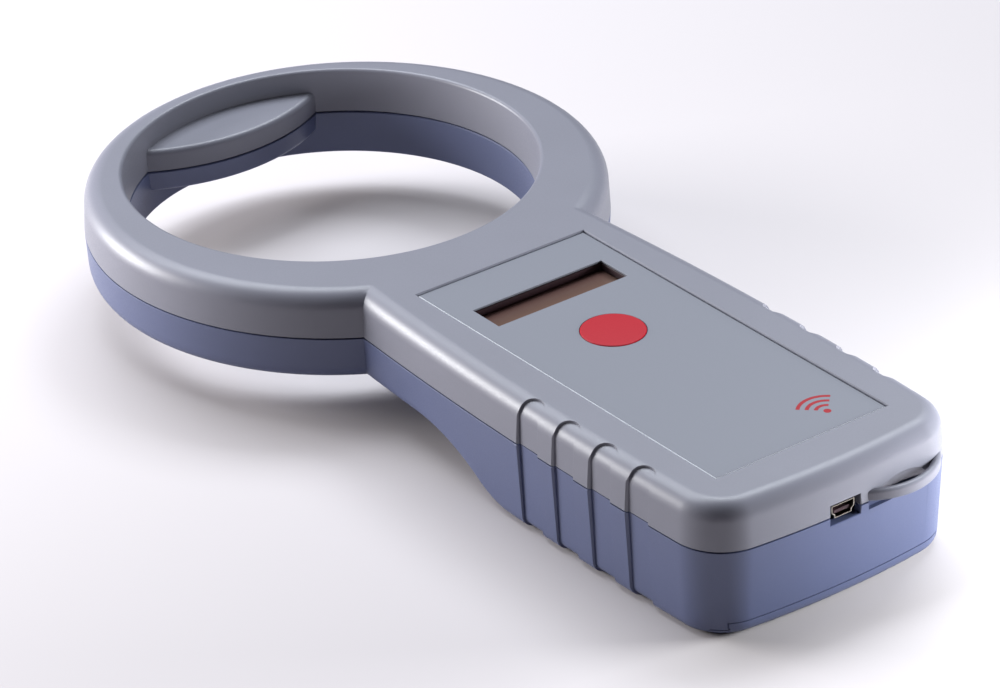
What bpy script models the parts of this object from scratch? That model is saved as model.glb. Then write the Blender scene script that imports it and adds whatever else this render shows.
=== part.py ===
"""Handheld microchip scanner: a ring antenna head on a deep battery handle.

Two moulded shells meet on one flat parting plane. The upper one carries the face plate, the
display and the scan button, and the lower one carries the battery bay and its sliding door.
Every size is in metres. Pieces are built around the centre of the ring's hole, with the handle
towards -Y and z = 0 on the surface that the handle's flat underside lies on. One empty then moves
the whole scanner so that the middle of its plan is at the origin.
"""
import math

import bmesh
import bpy

# ---- Overall form -----------------------------------------------------------------------------
HOLE_RADIUS = 0.060           # ring hole, at the top face
RING_WIDTH = 0.0154           # ring hole to the outer side, before the outer circle is shifted
RING_SHIFT = 0.0072           # the outer circle's centre lies this far towards the handle
HANDLE_LENGTH = 0.1655        # ring hole to the crown of the end face
UPPER_DEPTH = 0.0134          # top face down to the parting plane
RING_DEPTH = 0.0268           # top face down to the underside of the ring
WALL = 0.0024                 # side walls and floors of both shells
TOP_PLATE = 0.0028            # top wall of the upper shell
DRAFT = math.radians(3.0)     # the sides lean in by this above and below the parting plane
HOLE_DRAFT = math.radians(5.0)    # the hole narrows downwards by this in the upper shell
HOLE_LOW_DRAFT = math.radians(1.0)    # and by this in the lower shell
TOP_ROUND = 0.0055            # radius along the upper edges
LOW_ROUND = 0.0035            # radius along the handle's lower edges
RING_LOW_ROUND = 0.0045       # radius along the ring's lower edge
GAP = 0.0003                  # clearance between two pieces that meet
HOLE_EDGE = 0.0010            # small chamfer round the hole
RING_SEGMENTS = 64

# ---- Handle, with y measured from the edge of the hole ----------------------------------------
SIDE_ROOM = 0.0023            # rear screw post to the inside of the side wall
WAIST_NARROWING = 0.0033      # the handle is this much narrower, each side, where it leaves the ring
TAIL_NARROWING = 0.0012       # and this much narrower at its end corners
WAIST_REACH = 0.010
GRIP_REACH = 0.100            # widest place
TAIL_MARGIN = 0.0135          # end face to the place where the tail's width is measured
CORNER_RADIUS = 0.015
CROWN_RADIUS = 0.270          # the end face bulges this gently
HEEL_REACH = 0.077            # the flat underside starts here
HEEL_RADIUS = 0.024           # underside: the convex turn into the flat
HOLLOW_RADIUS = 0.056         # underside: the concave turn out of the ring

# ---- Grip flutes ------------------------------------------------------------------------------
FLUTE_COUNT = 4               # on each side
FLUTE_LAST_MARGIN = 0.0318    # end face to the middle of the last flute
FLUTE_PITCH = 0.0152
FLUTE_WIDTH = 0.0082
FLUTE_DEPTH = 0.0009
FLUTE_TOP_MARGIN = 0.0053     # the rounded upper end stops this far in from the side

# ---- Pod on the far inner wall of the ring ----------------------------------------------------
POD_THICKNESS = 0.0178        # wall of the hole to the middle of the pod's inner face
POD_FACE_RADIUS = 0.0578
POD_TOP_DROP = 0.0068         # top face of the ring down to the top of the pod
POD_EDGE = 0.0015
POD_WALL = 0.0020
POD_POST_INSET = 0.0090       # wall of the hole to the pod's screw post

# ---- Face plate, window and button, with y measured from the edge of the hole -----------------
FACE_WIDTH = 0.0574
FACE_LENGTH = 0.1277
FACE_REACH = 0.0205
FACE_RECESS = 0.0012
FACE_THICKNESS = 0.0005
WINDOW_WIDTH = 0.0442
WINDOW_HEIGHT = 0.0116
WINDOW_REACH = 0.0426
BUTTON_REACH = 0.0700
BUTTON_RADIUS = 0.0089
BUTTON_PROUD = 0.0003         # above the face plate
BUTTON_TRAVEL = 0.0007
BUTTON_CROWN = 0.0004         # chamfer round the cap
BUTTON_FLANGE = (0.0019, 0.0012)   # beyond the cap, thickness
BUTTON_STEM_RADIUS = 0.0024

# ---- Display module ---------------------------------------------------------------------------
FRAME_RIM = 0.0026            # display frame outside the window opening, on each side
FRAME_LIP = 0.0019            # frame above the glass
GLASS_OVERLAP = 0.0013        # glass under the frame, on each side
GLASS_THICKNESS = 0.0020
BACKLIGHT_THICKNESS = 0.0027
BOARD_RIM = 0.0013            # display board outside the frame, at its ends
DISPLAY_BOARD = (0.0220, 0.0012)   # length along the handle, thickness
HEADER_SIZE = (0.0400, 0.0025)

# ---- Main board and what stands on it ---------------------------------------------------------
SOCKET_SIZE = (0.0077, 0.0092, 0.0039)
SOCKET_INSET = 0.0012         # end face to the socket's mouth
SOCKET_SHEET = 0.0004
SOCKET_RISE = 0.00055         # parting plane up to the middle of the socket
TONGUE_SIZE = (0.0052, 0.0009)
PORT_MARGIN = (0.0012, 0.0010)     # opening outside the socket, at its sides, above and below
BOARD_REACH = 0.0340          # edge of the hole to the board
BOARD_THICKNESS = 0.0016
BOARD_END_CLEARANCE = 0.0030
SWITCH_SIZE = (0.0060, 0.0039)     # square side, height
PLUNGER_RADIUS = 0.0018
PLUNGER_DEPTH = 0.0013        # plunger inside the switch at rest
PLUNGER_PROUD = 0.0020        # plunger above the switch
BUZZER_SIZE = (0.0060, 0.0060)     # radius, height
BUZZER_HOLE = (0.0012, 0.0010)     # radius, depth
BUZZER_PLACE = (-0.0190, -0.0160)  # x, and y from the button's middle
CAPACITOR_SIZE = (0.0040, 0.0090)  # radius, height
CAPACITOR_PLACE = (-0.0200, -0.0600)
BLOCKS = {                    # name: (x, y from the button's middle, length in x, in y, height)
    "processor_chip": (0.0150, -0.0200, 0.0120, 0.0120, 0.0014),
    "antenna_driver_chip": (-0.0130, -0.0420, 0.0105, 0.0075, 0.0023),
    "tuning_capacitor": (0.0180, -0.0480, 0.0130, 0.0070, 0.0085),
    "clock_crystal": (0.0020, -0.0360, 0.0110, 0.0045, 0.0035),
}
CONNECTOR_SIZE = (0.0080, 0.0060, 0.0042)

# ---- Antenna ----------------------------------------------------------------------------------
COIL_ROOM = 0.0008            # inner wall of the ring to the coil
COIL_SECTION = (0.0024, 0.0050)    # radial, vertical
COIL_RIB_WIDTH = 0.0015
COIL_RIB_COUNT = 7
LEAD_RADIUS = 0.0006
LEAD_SPACING = 0.0030

# ---- Batteries, bay and door ------------------------------------------------------------------
CELL_RADIUS = 0.00725
CELL_BODY = 0.0492
CELL_NUB = (0.00275, 0.0010)       # radius, height
CELL_SPACE = 0.0004           # between two cells
CELL_COUNT = 4
SPRING_LENGTH = 0.0065
SPRING_RADII = (0.0042, 0.0022)    # at the plate, at the cell
SPRING_WIRE = 0.00045
SPRING_TURNS = 4
CONTACT_SHEET = 0.0004
CONTACT_HEIGHT = 0.0110
CONTACT_MARGIN = 0.0014       # contact's edge to the edge of the cell's share of the bay
BAY_WALL = 0.0015
BAY_END_WALL = 0.0050         # end face to the bay
DOOR_THICKNESS = 0.0020
DOOR_SIDE = 0.0079            # door's edge outside the bay
DOOR_OVERLAP = 0.0038         # door in front of the bay
DOOR_RIB = 0.0021             # ribs, lip and tongue rise this far above the door's panel
FLOOR_OVER_DOOR = 0.0015      # shell above the door, beside the bay
TONGUE_HALF_WIDTH = 0.0110
TONGUE_REACH = 0.0042         # beyond the door's front edge
RIB_WIDTH = 0.0015
RIB_MARGIN = 0.0024           # rib's end to the side of the bay

# ---- Lanyard loop on the end of the upper shell -----------------------------------------------
LOOP_X = 0.0199
LOOP_INSET = 0.0159           # end face to the middle of the loop's circle
LOOP_RADIUS = 0.0200
LOOP_THICKNESS = 0.0023
LOOP_HEIGHT = 0.0031
LOOP_ANGLES = (228.0, 328.0)  # degrees, both ends inside the wall
SCOOP_SIZE = (0.0095, 0.0018, 0.0042)   # half width, depth, height above the parting plane
RELIEF_SIZE = (0.0120, 0.0010, 0.0023)  # half width, depth, height: room for a cord under the loop

# ---- Screws -----------------------------------------------------------------------------------
POST_RADIUS = 0.0039
POST_SINK = 0.0006            # how far a post is sunk into a wall that it stands against
FRONT_POST = (0.0310, 0.0220)      # x, and reach from the edge of the hole
REAR_POST_MARGIN = 0.0135     # end face to the rear posts
CASE_SCREW = (0.0025, 0.0018, 0.00145)     # head radius, head height, shank radius
SEAT_RISE = 0.0009            # inside of the ring's floor up to the screws' seats
POD_SEAT_RISE = 0.0028        # underside of the pod up to its screw's seat
CASE_TIP_DROP = 0.0027        # top wall down to the tips of the case screws
BOARD_POST_RADIUS = 0.0028
BOARD_POST_MARGIN = 0.0025    # board's side to the middle of a post
BOARD_POST_FRONT = 0.0600     # reach of the front pair from the edge of the hole
BOARD_POST_REAR = 0.0095      # end face to the rear pair
BOARD_SCREW = (0.0022, 0.0015, 0.0011)
BOARD_SCREW_BITE = 0.0071     # board's top up to the screw's tip

# ---- Heights, from the table up through the batteries and the board to the top face -----------
TONGUE_TOP_Z = DOOR_THICKNESS + DOOR_RIB
LEDGE_FLOOR = DOOR_THICKNESS + GAP + FLOOR_OVER_DOOR
CELL_Z = TONGUE_TOP_Z + GAP + CELL_RADIUS
BAY_TOP_Z = CELL_Z + CELL_RADIUS + GAP
BAY_ROOF_Z = BAY_TOP_Z + BAY_WALL
BOARD_UNDER_Z = BAY_ROOF_Z + BOARD_SCREW[1] + 2 * GAP
BOARD_TOP_Z = BOARD_UNDER_Z + BOARD_THICKNESS
SOCKET_Z = BOARD_TOP_Z + GAP + SOCKET_SIZE[2] / 2
PARTING_Z = SOCKET_Z - SOCKET_RISE
THICKNESS = PARTING_Z + UPPER_DEPTH
RING_BOTTOM_Z = THICKNESS - RING_DEPTH
PLATE_UNDER_Z = THICKNESS - TOP_PLATE
FACE_TOP_Z = THICKNESS - FACE_RECESS + GAP + FACE_THICKNESS
FACE_UNDER_Z = FACE_TOP_Z - FACE_THICKNESS
POD_TOP_Z = THICKNESS - POD_TOP_DROP
POD_BOTTOM_Z = PARTING_Z - (POD_TOP_Z - PARTING_Z)
FRAME_TOP_Z = FACE_UNDER_Z - GAP
GLASS_TOP_Z = FRAME_TOP_Z - FRAME_LIP - GAP
GLASS_UNDER_Z = GLASS_TOP_Z - GLASS_THICKNESS
BACKLIGHT_TOP_Z = GLASS_UNDER_Z - GAP
BACKLIGHT_UNDER_Z = BACKLIGHT_TOP_Z - BACKLIGHT_THICKNESS
FRAME_UNDER_Z = BACKLIGHT_UNDER_Z - GAP
DISPLAY_BOARD_TOP_Z = FRAME_UNDER_Z - GAP
DISPLAY_BOARD_UNDER_Z = DISPLAY_BOARD_TOP_Z - DISPLAY_BOARD[1]
BUTTON_TOP_Z = FACE_TOP_Z + BUTTON_PROUD
FLANGE_TOP_Z = PLATE_UNDER_Z - GAP
FLANGE_UNDER_Z = FLANGE_TOP_Z - BUTTON_FLANGE[1]
SWITCH_UNDER_Z = BOARD_TOP_Z + GAP
SWITCH_TOP_Z = SWITCH_UNDER_Z + SWITCH_SIZE[1]
PLUNGER_UNDER_Z = SWITCH_TOP_Z - PLUNGER_DEPTH
PLUNGER_POCKET_Z = PLUNGER_UNDER_Z - BUTTON_TRAVEL - GAP
PLUNGER_TOP_Z = SWITCH_TOP_Z + PLUNGER_PROUD
STEM_UNDER_Z = PLUNGER_TOP_Z + GAP
CASE_SEAT_Z = RING_BOTTOM_Z + WALL + SEAT_RISE
CASE_SCREW_TIP_Z = PLATE_UNDER_Z - CASE_TIP_DROP
POD_SEAT_Z = POD_BOTTOM_Z + POD_SEAT_RISE
POD_SCREW_TIP_Z = POD_TOP_Z - CASE_TIP_DROP
BOARD_SCREW_TIP_Z = BOARD_TOP_Z + BOARD_SCREW_BITE
UNDERSIDE_ANGLE = math.acos(1.0 - RING_BOTTOM_Z / (HEEL_RADIUS + HOLLOW_RADIUS))

# ---- Places along the handle, from the centre of the hole -------------------------------------
RING_RADIUS = HOLE_RADIUS + RING_WIDTH
HANDLE_END = HOLE_RADIUS + HANDLE_LENGTH
HEEL_Y = -(HOLE_RADIUS + HEEL_REACH)
FACE_START_Y = -(HOLE_RADIUS + FACE_REACH)
WINDOW_Y = -(HOLE_RADIUS + WINDOW_REACH)
BUTTON_Y = -(HOLE_RADIUS + BUTTON_REACH)
BOARD_START_Y = -(HOLE_RADIUS + BOARD_REACH)
BOARD_END_Y = -HANDLE_END + WALL + BOARD_END_CLEARANCE
CONNECTOR_Y = BOARD_START_Y - GAP - CONNECTOR_SIZE[1] / 2
POD_REACH = HOLE_RADIUS - POD_THICKNESS
POD_POST_Y = HOLE_RADIUS - POD_POST_INSET
SEAM_HOLE_RADIUS = HOLE_RADIUS - UPPER_DEPTH * math.tan(HOLE_DRAFT)
COIL_RADIUS = SEAM_HOLE_RADIUS + WALL + COIL_ROOM + COIL_SECTION[0] / 2
CELL_TOTAL = CELL_BODY + CELL_NUB[1]
BAY_REAR_Y = -HANDLE_END + BAY_END_WALL
BAY_FRONT_Y = BAY_REAR_Y + CELL_TOTAL + SPRING_LENGTH + 2 * CONTACT_SHEET + 5 * GAP
DOOR_FRONT_Y = BAY_FRONT_Y + DOOR_OVERLAP
LIP_INNER_Y = BAY_REAR_Y - GAP / 2
REAR_POST_Y = -HANDLE_END + REAR_POST_MARGIN
BOARD_POST_YS = (-(HOLE_RADIUS + BOARD_POST_FRONT), -HANDLE_END + BOARD_POST_REAR)
LOOP_CENTRE = (LOOP_X, -HANDLE_END + LOOP_INSET)

# ---- Widths, from the cells outwards ----------------------------------------------------------
CELL_PITCH = 2 * CELL_RADIUS + CELL_SPACE
BAY_HALF_WIDTH = CELL_PITCH * CELL_COUNT / 2 + 2 * GAP
BAY_OUTER_X = BAY_HALF_WIDTH + BAY_WALL
DOOR_HALF_WIDTH = BAY_HALF_WIDTH + DOOR_SIDE
RIB_HALF_LENGTH = BAY_HALF_WIDTH - RIB_MARGIN
BOARD_HALF_WIDTH = BAY_HALF_WIDTH + GAP
BOARD_POST_X = BOARD_HALF_WIDTH - BOARD_POST_MARGIN
REAR_POST_X = BAY_OUTER_X + POST_RADIUS - POST_SINK
GRIP_HALF_WIDTH = REAR_POST_X + POST_RADIUS + SIDE_ROOM + WALL
WAIST = (-(HOLE_RADIUS + WAIST_REACH), GRIP_HALF_WIDTH - WAIST_NARROWING)
GRIP = (-(HOLE_RADIUS + GRIP_REACH), GRIP_HALF_WIDTH)
TAIL = (-HANDLE_END + TAIL_MARGIN, GRIP_HALF_WIDTH - TAIL_NARROWING)

# The middle of the plan, so that the scanner's box is centred on the origin.
FAR_Y = RING_RADIUS - RING_SHIFT
NEAR_Y = LOOP_CENTRE[1] - LOOP_RADIUS
FRAME_Y = -(FAR_Y + NEAR_Y) / 2


# ---- Scene and objects ------------------------------------------------------------------------
for old in list(bpy.data.objects):
    bpy.data.objects.remove(old, do_unlink=True)

FRAME = bpy.data.objects.new("scanner_frame", None)
FRAME.location = (0.0, FRAME_Y, 0.0)
bpy.context.scene.collection.objects.link(FRAME)


# Finishes: colour, roughness, metallic.
GREY_ABS = ((0.33, 0.34, 0.38), 0.45, 0.0)
BLUE_ABS = ((0.13, 0.14, 0.26), 0.45, 0.0)
FACE_FILM = ((0.30, 0.31, 0.34), 0.60, 0.0)
RED_CAP = ((0.53, 0.04, 0.06), 0.50, 0.0)
BLACK_PLASTIC = ((0.02, 0.02, 0.02), 0.50, 0.0)
DISPLAY_GLASS = ((0.10, 0.07, 0.04), 0.10, 0.0)
WHITE_PLASTIC = ((0.75, 0.74, 0.70), 0.45, 0.0)
BOARD_GREEN = ((0.02, 0.16, 0.06), 0.50, 0.0)
PLATED_STEEL = ((0.60, 0.60, 0.58), 0.30, 1.0)
COPPER_WIRE = ((0.60, 0.24, 0.10), 0.40, 1.0)
CELL_JACKET = ((0.10, 0.12, 0.14), 0.40, 0.2)


def piece_material(name, finish):
    """A Principled material of the piece's own."""
    colour, roughness, metallic = finish
    material = bpy.data.materials.new(name)
    material.use_nodes = True
    shader = material.node_tree.nodes["Principled BSDF"]
    shader.inputs["Base Color"].default_value = (*colour, 1.0)
    shader.inputs["Roughness"].default_value = roughness
    shader.inputs["Metallic"].default_value = metallic
    return material


def place(name, mesh_data, finish, location=(0.0, 0.0, 0.0), smooth_angle=None):
    """Turn a bmesh into an object on the scanner's frame."""
    bmesh.ops.recalc_face_normals(mesh_data, faces=mesh_data.faces)
    mesh = bpy.data.meshes.new(name)
    mesh_data.to_mesh(mesh)
    mesh_data.free()
    mesh.materials.append(piece_material(name, finish))
    if smooth_angle is not None:
        mesh.shade_smooth()
        mesh.set_sharp_from_angle(angle=math.radians(smooth_angle))
    piece = bpy.data.objects.new(name, mesh)
    piece.parent = FRAME
    piece.location = location
    bpy.context.scene.collection.objects.link(piece)
    return piece


def guide(name, mesh_data):
    """A body that only shapes other pieces."""
    body = place(name, mesh_data, GREY_ABS)
    body.hide_render = True
    body.display_type = 'WIRE'
    return body


def combine(target, operation, *bodies):
    """Add one Boolean modifier to the target for each body."""
    for body in bodies:
        modifier = target.modifiers.new(operation.lower() + "_" + body.name, 'BOOLEAN')
        modifier.operation = operation
        modifier.solver = 'EXACT'
        modifier.object = body


# ---- Mesh builders ----------------------------------------------------------------------------
def add_box(mesh_data, low, high):
    """Add a box between two corners."""
    corners = [mesh_data.verts.new((x, y, z))
               for z in (low[2], high[2])
               for x, y in ((low[0], low[1]), (high[0], low[1]), (high[0], high[1]), (low[0], high[1]))]
    mesh_data.faces.new(corners[3::-1])
    mesh_data.faces.new(corners[4:])
    for index in range(4):
        after = (index + 1) % 4
        mesh_data.faces.new((corners[index], corners[after], corners[after + 4], corners[index + 4]))


def box(low, high):
    """A box between two corners."""
    mesh_data = bmesh.new()
    add_box(mesh_data, low, high)
    return mesh_data


def add_loft(mesh_data, rows, caps=True):
    """Skin closed rows of points that all have the same length."""
    vert_rows = [[mesh_data.verts.new(point) for point in row] for row in rows]
    count = len(rows[0])
    for lower, upper in zip(vert_rows, vert_rows[1:]):
        for index in range(count):
            after = (index + 1) % count
            mesh_data.faces.new((lower[index], lower[after], upper[after], upper[index]))
    if caps:
        mesh_data.faces.new(vert_rows[0][::-1])
        mesh_data.faces.new(vert_rows[-1])
    return vert_rows


def circle_row(radius, z, centre=(0.0, 0.0), segments=24):
    """Points round a level circle."""
    return [(centre[0] + radius * math.cos(math.tau * index / segments),
             centre[1] + radius * math.sin(math.tau * index / segments), z)
            for index in range(segments)]


def add_turned(mesh_data, profile, centre=(0.0, 0.0), segments=24):
    """Add an upright turned body from (radius, z) pairs, lowest first."""
    add_loft(mesh_data, [circle_row(radius, z, centre, segments) for radius, z in profile])


def turned(profile, centre=(0.0, 0.0), segments=24):
    """An upright turned body."""
    mesh_data = bmesh.new()
    add_turned(mesh_data, profile, centre, segments)
    return mesh_data


def prism_along_x(outline, half_length):
    """Extrude a (y, z) outline to both sides of the middle plane."""
    mesh_data = bmesh.new()
    add_loft(mesh_data, [[(x, y, z) for y, z in outline] for x in (-half_length, half_length)])
    return mesh_data


def prism_along_z(outline, low, high):
    """Extrude an (x, y) outline upwards."""
    mesh_data = bmesh.new()
    add_loft(mesh_data, [[(x, y, z) for x, y in outline] for z in (low, high)])
    return mesh_data


# ---- Shared shell geometry --------------------------------------------------------------------
def side_inset(z):
    """How far the draft brings a side in at a height."""
    return abs(z - PARTING_Z) * math.tan(DRAFT)


def upper_profile(offset, low, top, radius, steps):
    """(inset, z) pairs up a side above the parting plane and over its rounded edge."""
    spring = top - radius
    start = offset + side_inset(spring)
    profile = [(offset + side_inset(low), low)]
    for step in range(steps + 1):
        angle = math.radians(90.0 * step / steps)
        profile.append((start + radius * (1.0 - math.cos(angle)), spring + radius * math.sin(angle)))
    return profile


def lower_profile(offset, high, floor, radius, steps):
    """(inset, z) pairs down a side below the parting plane and under its rounded edge."""
    spring = floor + radius
    start = offset + side_inset(spring)
    profile = [(offset + side_inset(high), high)]
    for step in range(steps + 1):
        angle = math.radians(90.0 * step / steps)
        profile.append((start + radius * (1.0 - math.cos(angle)), spring - radius * math.sin(angle)))
    return profile


def half_width(y):
    """Half the handle's width at the parting plane: a parabola through its three stated widths."""
    total = 0.0
    for own in (WAIST, GRIP, TAIL):
        term = own[1]
        for other in (WAIST, GRIP, TAIL):
            if other is not own:
                term *= (y - other[0]) / (own[0] - other[0])
        total += term
    return total


def underside(y):
    """Height of the underside: flat, a convex heel, a concave hollow, then the ring's level."""
    heel_run = HEEL_RADIUS * math.sin(UNDERSIDE_ANGLE)
    hollow_run = HOLLOW_RADIUS * math.sin(UNDERSIDE_ANGLE)
    from_heel = y - HEEL_Y
    from_ring = heel_run + hollow_run - from_heel
    if from_heel <= 0.0:
        return 0.0
    if from_heel <= heel_run:
        return HEEL_RADIUS - math.sqrt(HEEL_RADIUS ** 2 - from_heel ** 2)
    if from_ring > 0.0:
        return RING_BOTTOM_Z - HOLLOW_RADIUS + math.sqrt(HOLLOW_RADIUS ** 2 - from_ring ** 2)
    return RING_BOTTOM_Z


def side_stations(front_y, corner_y, extra=()):
    """The y values of the ribs along the handle's side, front first."""
    curve_steps = 4
    values = [(front_y + HEEL_Y) / 2 + 0.02, *extra]
    for step in range(curve_steps + 1):
        angle = UNDERSIDE_ANGLE * step / curve_steps
        values.append(HEEL_Y + HEEL_RADIUS * math.sin(angle))
        reach = (HEEL_RADIUS + HOLLOW_RADIUS) * math.sin(UNDERSIDE_ANGLE)
        values.append(HEEL_Y + reach - HOLLOW_RADIUS * math.sin(angle))
    values += [GRIP[0], (GRIP[0] + corner_y) / 2]
    between = {round(value, 6) for value in values if corner_y + GAP < value < front_y - GAP}
    return [front_y, *sorted(between, reverse=True), corner_y]


def handle_stations(front_y, extra=()):
    """(x, y, normal x, normal y) round the handle, and how many stations each side has."""
    crown_y = CROWN_RADIUS - HANDLE_END
    corner_y = -HANDLE_END + CORNER_RADIUS
    for _ in range(4):
        corner_x = half_width(corner_y) - CORNER_RADIUS
        corner_y = crown_y - math.sqrt((CROWN_RADIUS - CORNER_RADIUS) ** 2 - corner_x ** 2)
    lean = math.asin(corner_x / (CROWN_RADIUS - CORNER_RADIUS))
    side = [(half_width(y), y, 1.0, 0.0) for y in side_stations(front_y, corner_y, extra)]
    half = list(side)
    corner_steps = 6
    for step in range(1, corner_steps + 1):
        angle = -(math.pi / 2 - lean) * step / corner_steps
        half.append((corner_x + CORNER_RADIUS * math.cos(angle),
                     corner_y + CORNER_RADIUS * math.sin(angle), math.cos(angle), math.sin(angle)))
    crown_steps = 3
    for step in range(crown_steps - 1, -1, -1):
        angle = lean * step / crown_steps
        half.append((CROWN_RADIUS * math.sin(angle), crown_y - CROWN_RADIUS * math.cos(angle),
                     math.sin(angle), -math.cos(angle)))
    mirrored = [(-x, y, -nx, ny) for x, y, nx, ny in half[-2::-1]]
    return half + mirrored, len(side)


def handle_body(front_y, profile_at, ribbed, extra=()):
    """A closed handle shape. profile_at(y) gives the (inset, z) pairs at a station."""
    stations, side_count = handle_stations(front_y, extra)
    columns = [profile_at(y) for _, y, _, _ in stations]
    rows = []
    for level in range(len(columns[0])):
        row = []
        for (x, y, nx, ny), column in zip(stations, columns):
            inset, z = column[level]
            row.append((x - nx * inset, y - ny * inset, z))
        rows.append(row)
    mesh_data = bmesh.new()
    vert_rows = add_loft(mesh_data, rows, caps=False)
    mesh_data.faces.new(vert_rows[0])
    last = vert_rows[-1]
    if ribbed:
        count = len(last)
        for index in range(side_count - 1):
            mesh_data.faces.new((last[index], last[index + 1], last[count - 2 - index],
                                 last[count - 1 - index]))
        mesh_data.faces.new(last[side_count - 1:count - side_count + 1])
    else:
        mesh_data.faces.new(last)
    return mesh_data


def ring_body(outer_profile, inner_profile):
    """A closed ring: the outer wall has the shifted centre, the inner wall the hole's centre."""
    mesh_data = bmesh.new()
    columns = []
    for index in range(RING_SEGMENTS):
        angle = math.tau * (index + 0.5) / RING_SEGMENTS
        across, along = math.cos(angle), math.sin(angle)
        column = []
        for inset, z in outer_profile:
            radius = RING_RADIUS - inset
            column.append(mesh_data.verts.new((radius * across, radius * along - RING_SHIFT, z)))
        for radius, z in inner_profile:
            column.append(mesh_data.verts.new((radius * across, radius * along, z)))
        columns.append(column)
    count = len(columns[0])
    for index in range(RING_SEGMENTS):
        here = columns[index]
        after = columns[(index + 1) % RING_SEGMENTS]
        for step in range(count):
            following = (step + 1) % count
            mesh_data.faces.new((here[step], after[step], after[following], here[following]))
    return mesh_data


def hole_radius(z):
    """The hole narrows downwards, most of it in the upper shell."""
    if z > PARTING_Z:
        return HOLE_RADIUS - (THICKNESS - z) * math.tan(HOLE_DRAFT)
    return SEAM_HOLE_RADIUS - (PARTING_Z - z) * math.tan(HOLE_LOW_DRAFT)


def pod_row(face_radius, back_radius, z, steps=11):
    """A lens outline between the pod's inner face and a circle inside the ring's wall."""
    centre_y = POD_REACH + POD_FACE_RADIUS
    meet_y = (back_radius ** 2 - face_radius ** 2 + centre_y ** 2) / (2 * centre_y)
    meet_x = math.sqrt(back_radius ** 2 - meet_y ** 2)
    face_angle = math.atan2(meet_x, centre_y - meet_y)
    back_angle = math.atan2(meet_x, meet_y)
    row = []
    for step in range(steps):
        angle = face_angle * (2 * step / steps - 1)
        row.append((face_radius * math.sin(angle), centre_y - face_radius * math.cos(angle), z))
    for step in range(steps):
        angle = back_angle * (1 - 2 * step / steps)
        row.append((back_radius * math.sin(angle), back_radius * math.cos(angle), z))
    return row


def pod_body(wall, join_z, end_z):
    """Half of the pod, from the parting plane to its top or bottom. wall > 0 makes its hollow."""
    toward = 1.0 if end_z > join_z else -1.0
    face = POD_FACE_RADIUS - wall
    back = SEAM_HOLE_RADIUS + WALL / 2 if wall == 0.0 else HOLE_RADIUS - POD_WALL
    edge = POD_EDGE if wall == 0.0 else 0.0
    rows = [pod_row(face - side_inset(join_z), back, join_z)]
    spring = end_z - toward * edge
    inset = side_inset(spring)
    if edge > 0.0:
        rows.append(pod_row(face - inset, back, spring))
        rows.append(pod_row(face - inset - 0.3 * edge, back, spring + toward * 0.7 * edge))
        rows.append(pod_row(face - inset - edge, back, end_z))
    else:
        rows.append(pod_row(face - inset, back, end_z))
    mesh_data = bmesh.new()
    add_loft(mesh_data, rows)
    return mesh_data


def flute_slabs(low, high):
    """Eight upright slabs with a rounded inner end, one for each flute."""
    mesh_data = bmesh.new()
    radius = FLUTE_WIDTH / 2
    outside = 0.010
    end_steps = 8
    for side in (-1.0, 1.0):
        for index in range(FLUTE_COUNT):
            y = -HANDLE_END + FLUTE_LAST_MARGIN + FLUTE_PITCH * index
            x = half_width(y) - FLUTE_TOP_MARGIN + radius
            outline = [(x + outside, y + radius)]
            for step in range(end_steps + 1):
                angle = math.radians(90.0 + 180.0 * step / end_steps)
                outline.append((x + radius * math.cos(angle), y + radius * math.sin(angle)))
            outline.append((x + outside, y - radius))
            add_loft(mesh_data, [[(side * px, py, z) for px, py in outline] for z in (low, high)])
    return mesh_data


def posts(spots, radius, low, high, segments=20):
    """Several upright round bodies of one size."""
    mesh_data = bmesh.new()
    for x, y in spots:
        add_turned(mesh_data, [(radius, low), (radius, high)], (x, y), segments)
    return mesh_data


# ---- Outer forms and hollows of the two shells ------------------------------------------------
UPPER_LOW = PARTING_Z + GAP / 2
LOWER_HIGH = PARTING_Z - GAP / 2
PAST = 0.002                         # how far a cutter runs past the face it cuts
HANDLE_FRONT_Y = -(HOLE_RADIUS + 0.002)
HOLLOW_FRONT_Y = -(HOLE_RADIUS + WALL + 0.0011)
INNER_TOP_ROUND = TOP_ROUND - WALL
INNER_LOW_ROUND = 0.0012


def upper_handle(offset, low, top, radius, steps, front_y):
    profile = upper_profile(offset, low, top, radius, steps)
    return handle_body(front_y, lambda y: profile, ribbed=False)


def lower_handle(offset, high, rise, radius, steps, front_y, extra=()):
    return handle_body(front_y, lambda y: lower_profile(offset, high, underside(y) + rise(y), radius, steps),
                       ribbed=True, extra=extra)


def bay_floor(y):
    """Floor thickness: the shell's wall, and thicker over the door beside the bay."""
    return LEDGE_FLOOR if y < DOOR_FRONT_Y + 0.0005 else WALL


handle_top = guide("handle_top", upper_handle(0.0, UPPER_LOW, THICKNESS, TOP_ROUND, 5, HANDLE_FRONT_Y))
handle_base = guide("handle_base", lower_handle(0.0, LOWER_HIGH, lambda y: 0.0, LOW_ROUND, 4, HANDLE_FRONT_Y))
handle_top_hollow = guide("handle_top_hollow", upper_handle(
    WALL, UPPER_LOW - PAST, PLATE_UNDER_Z, INNER_TOP_ROUND, 2, HOLLOW_FRONT_Y))
handle_base_hollow = guide("handle_base_hollow", lower_handle(
    WALL, LOWER_HIGH + PAST, bay_floor, INNER_LOW_ROUND, 1, HOLLOW_FRONT_Y,
    extra=(DOOR_FRONT_Y + 0.0010, DOOR_FRONT_Y)))

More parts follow.
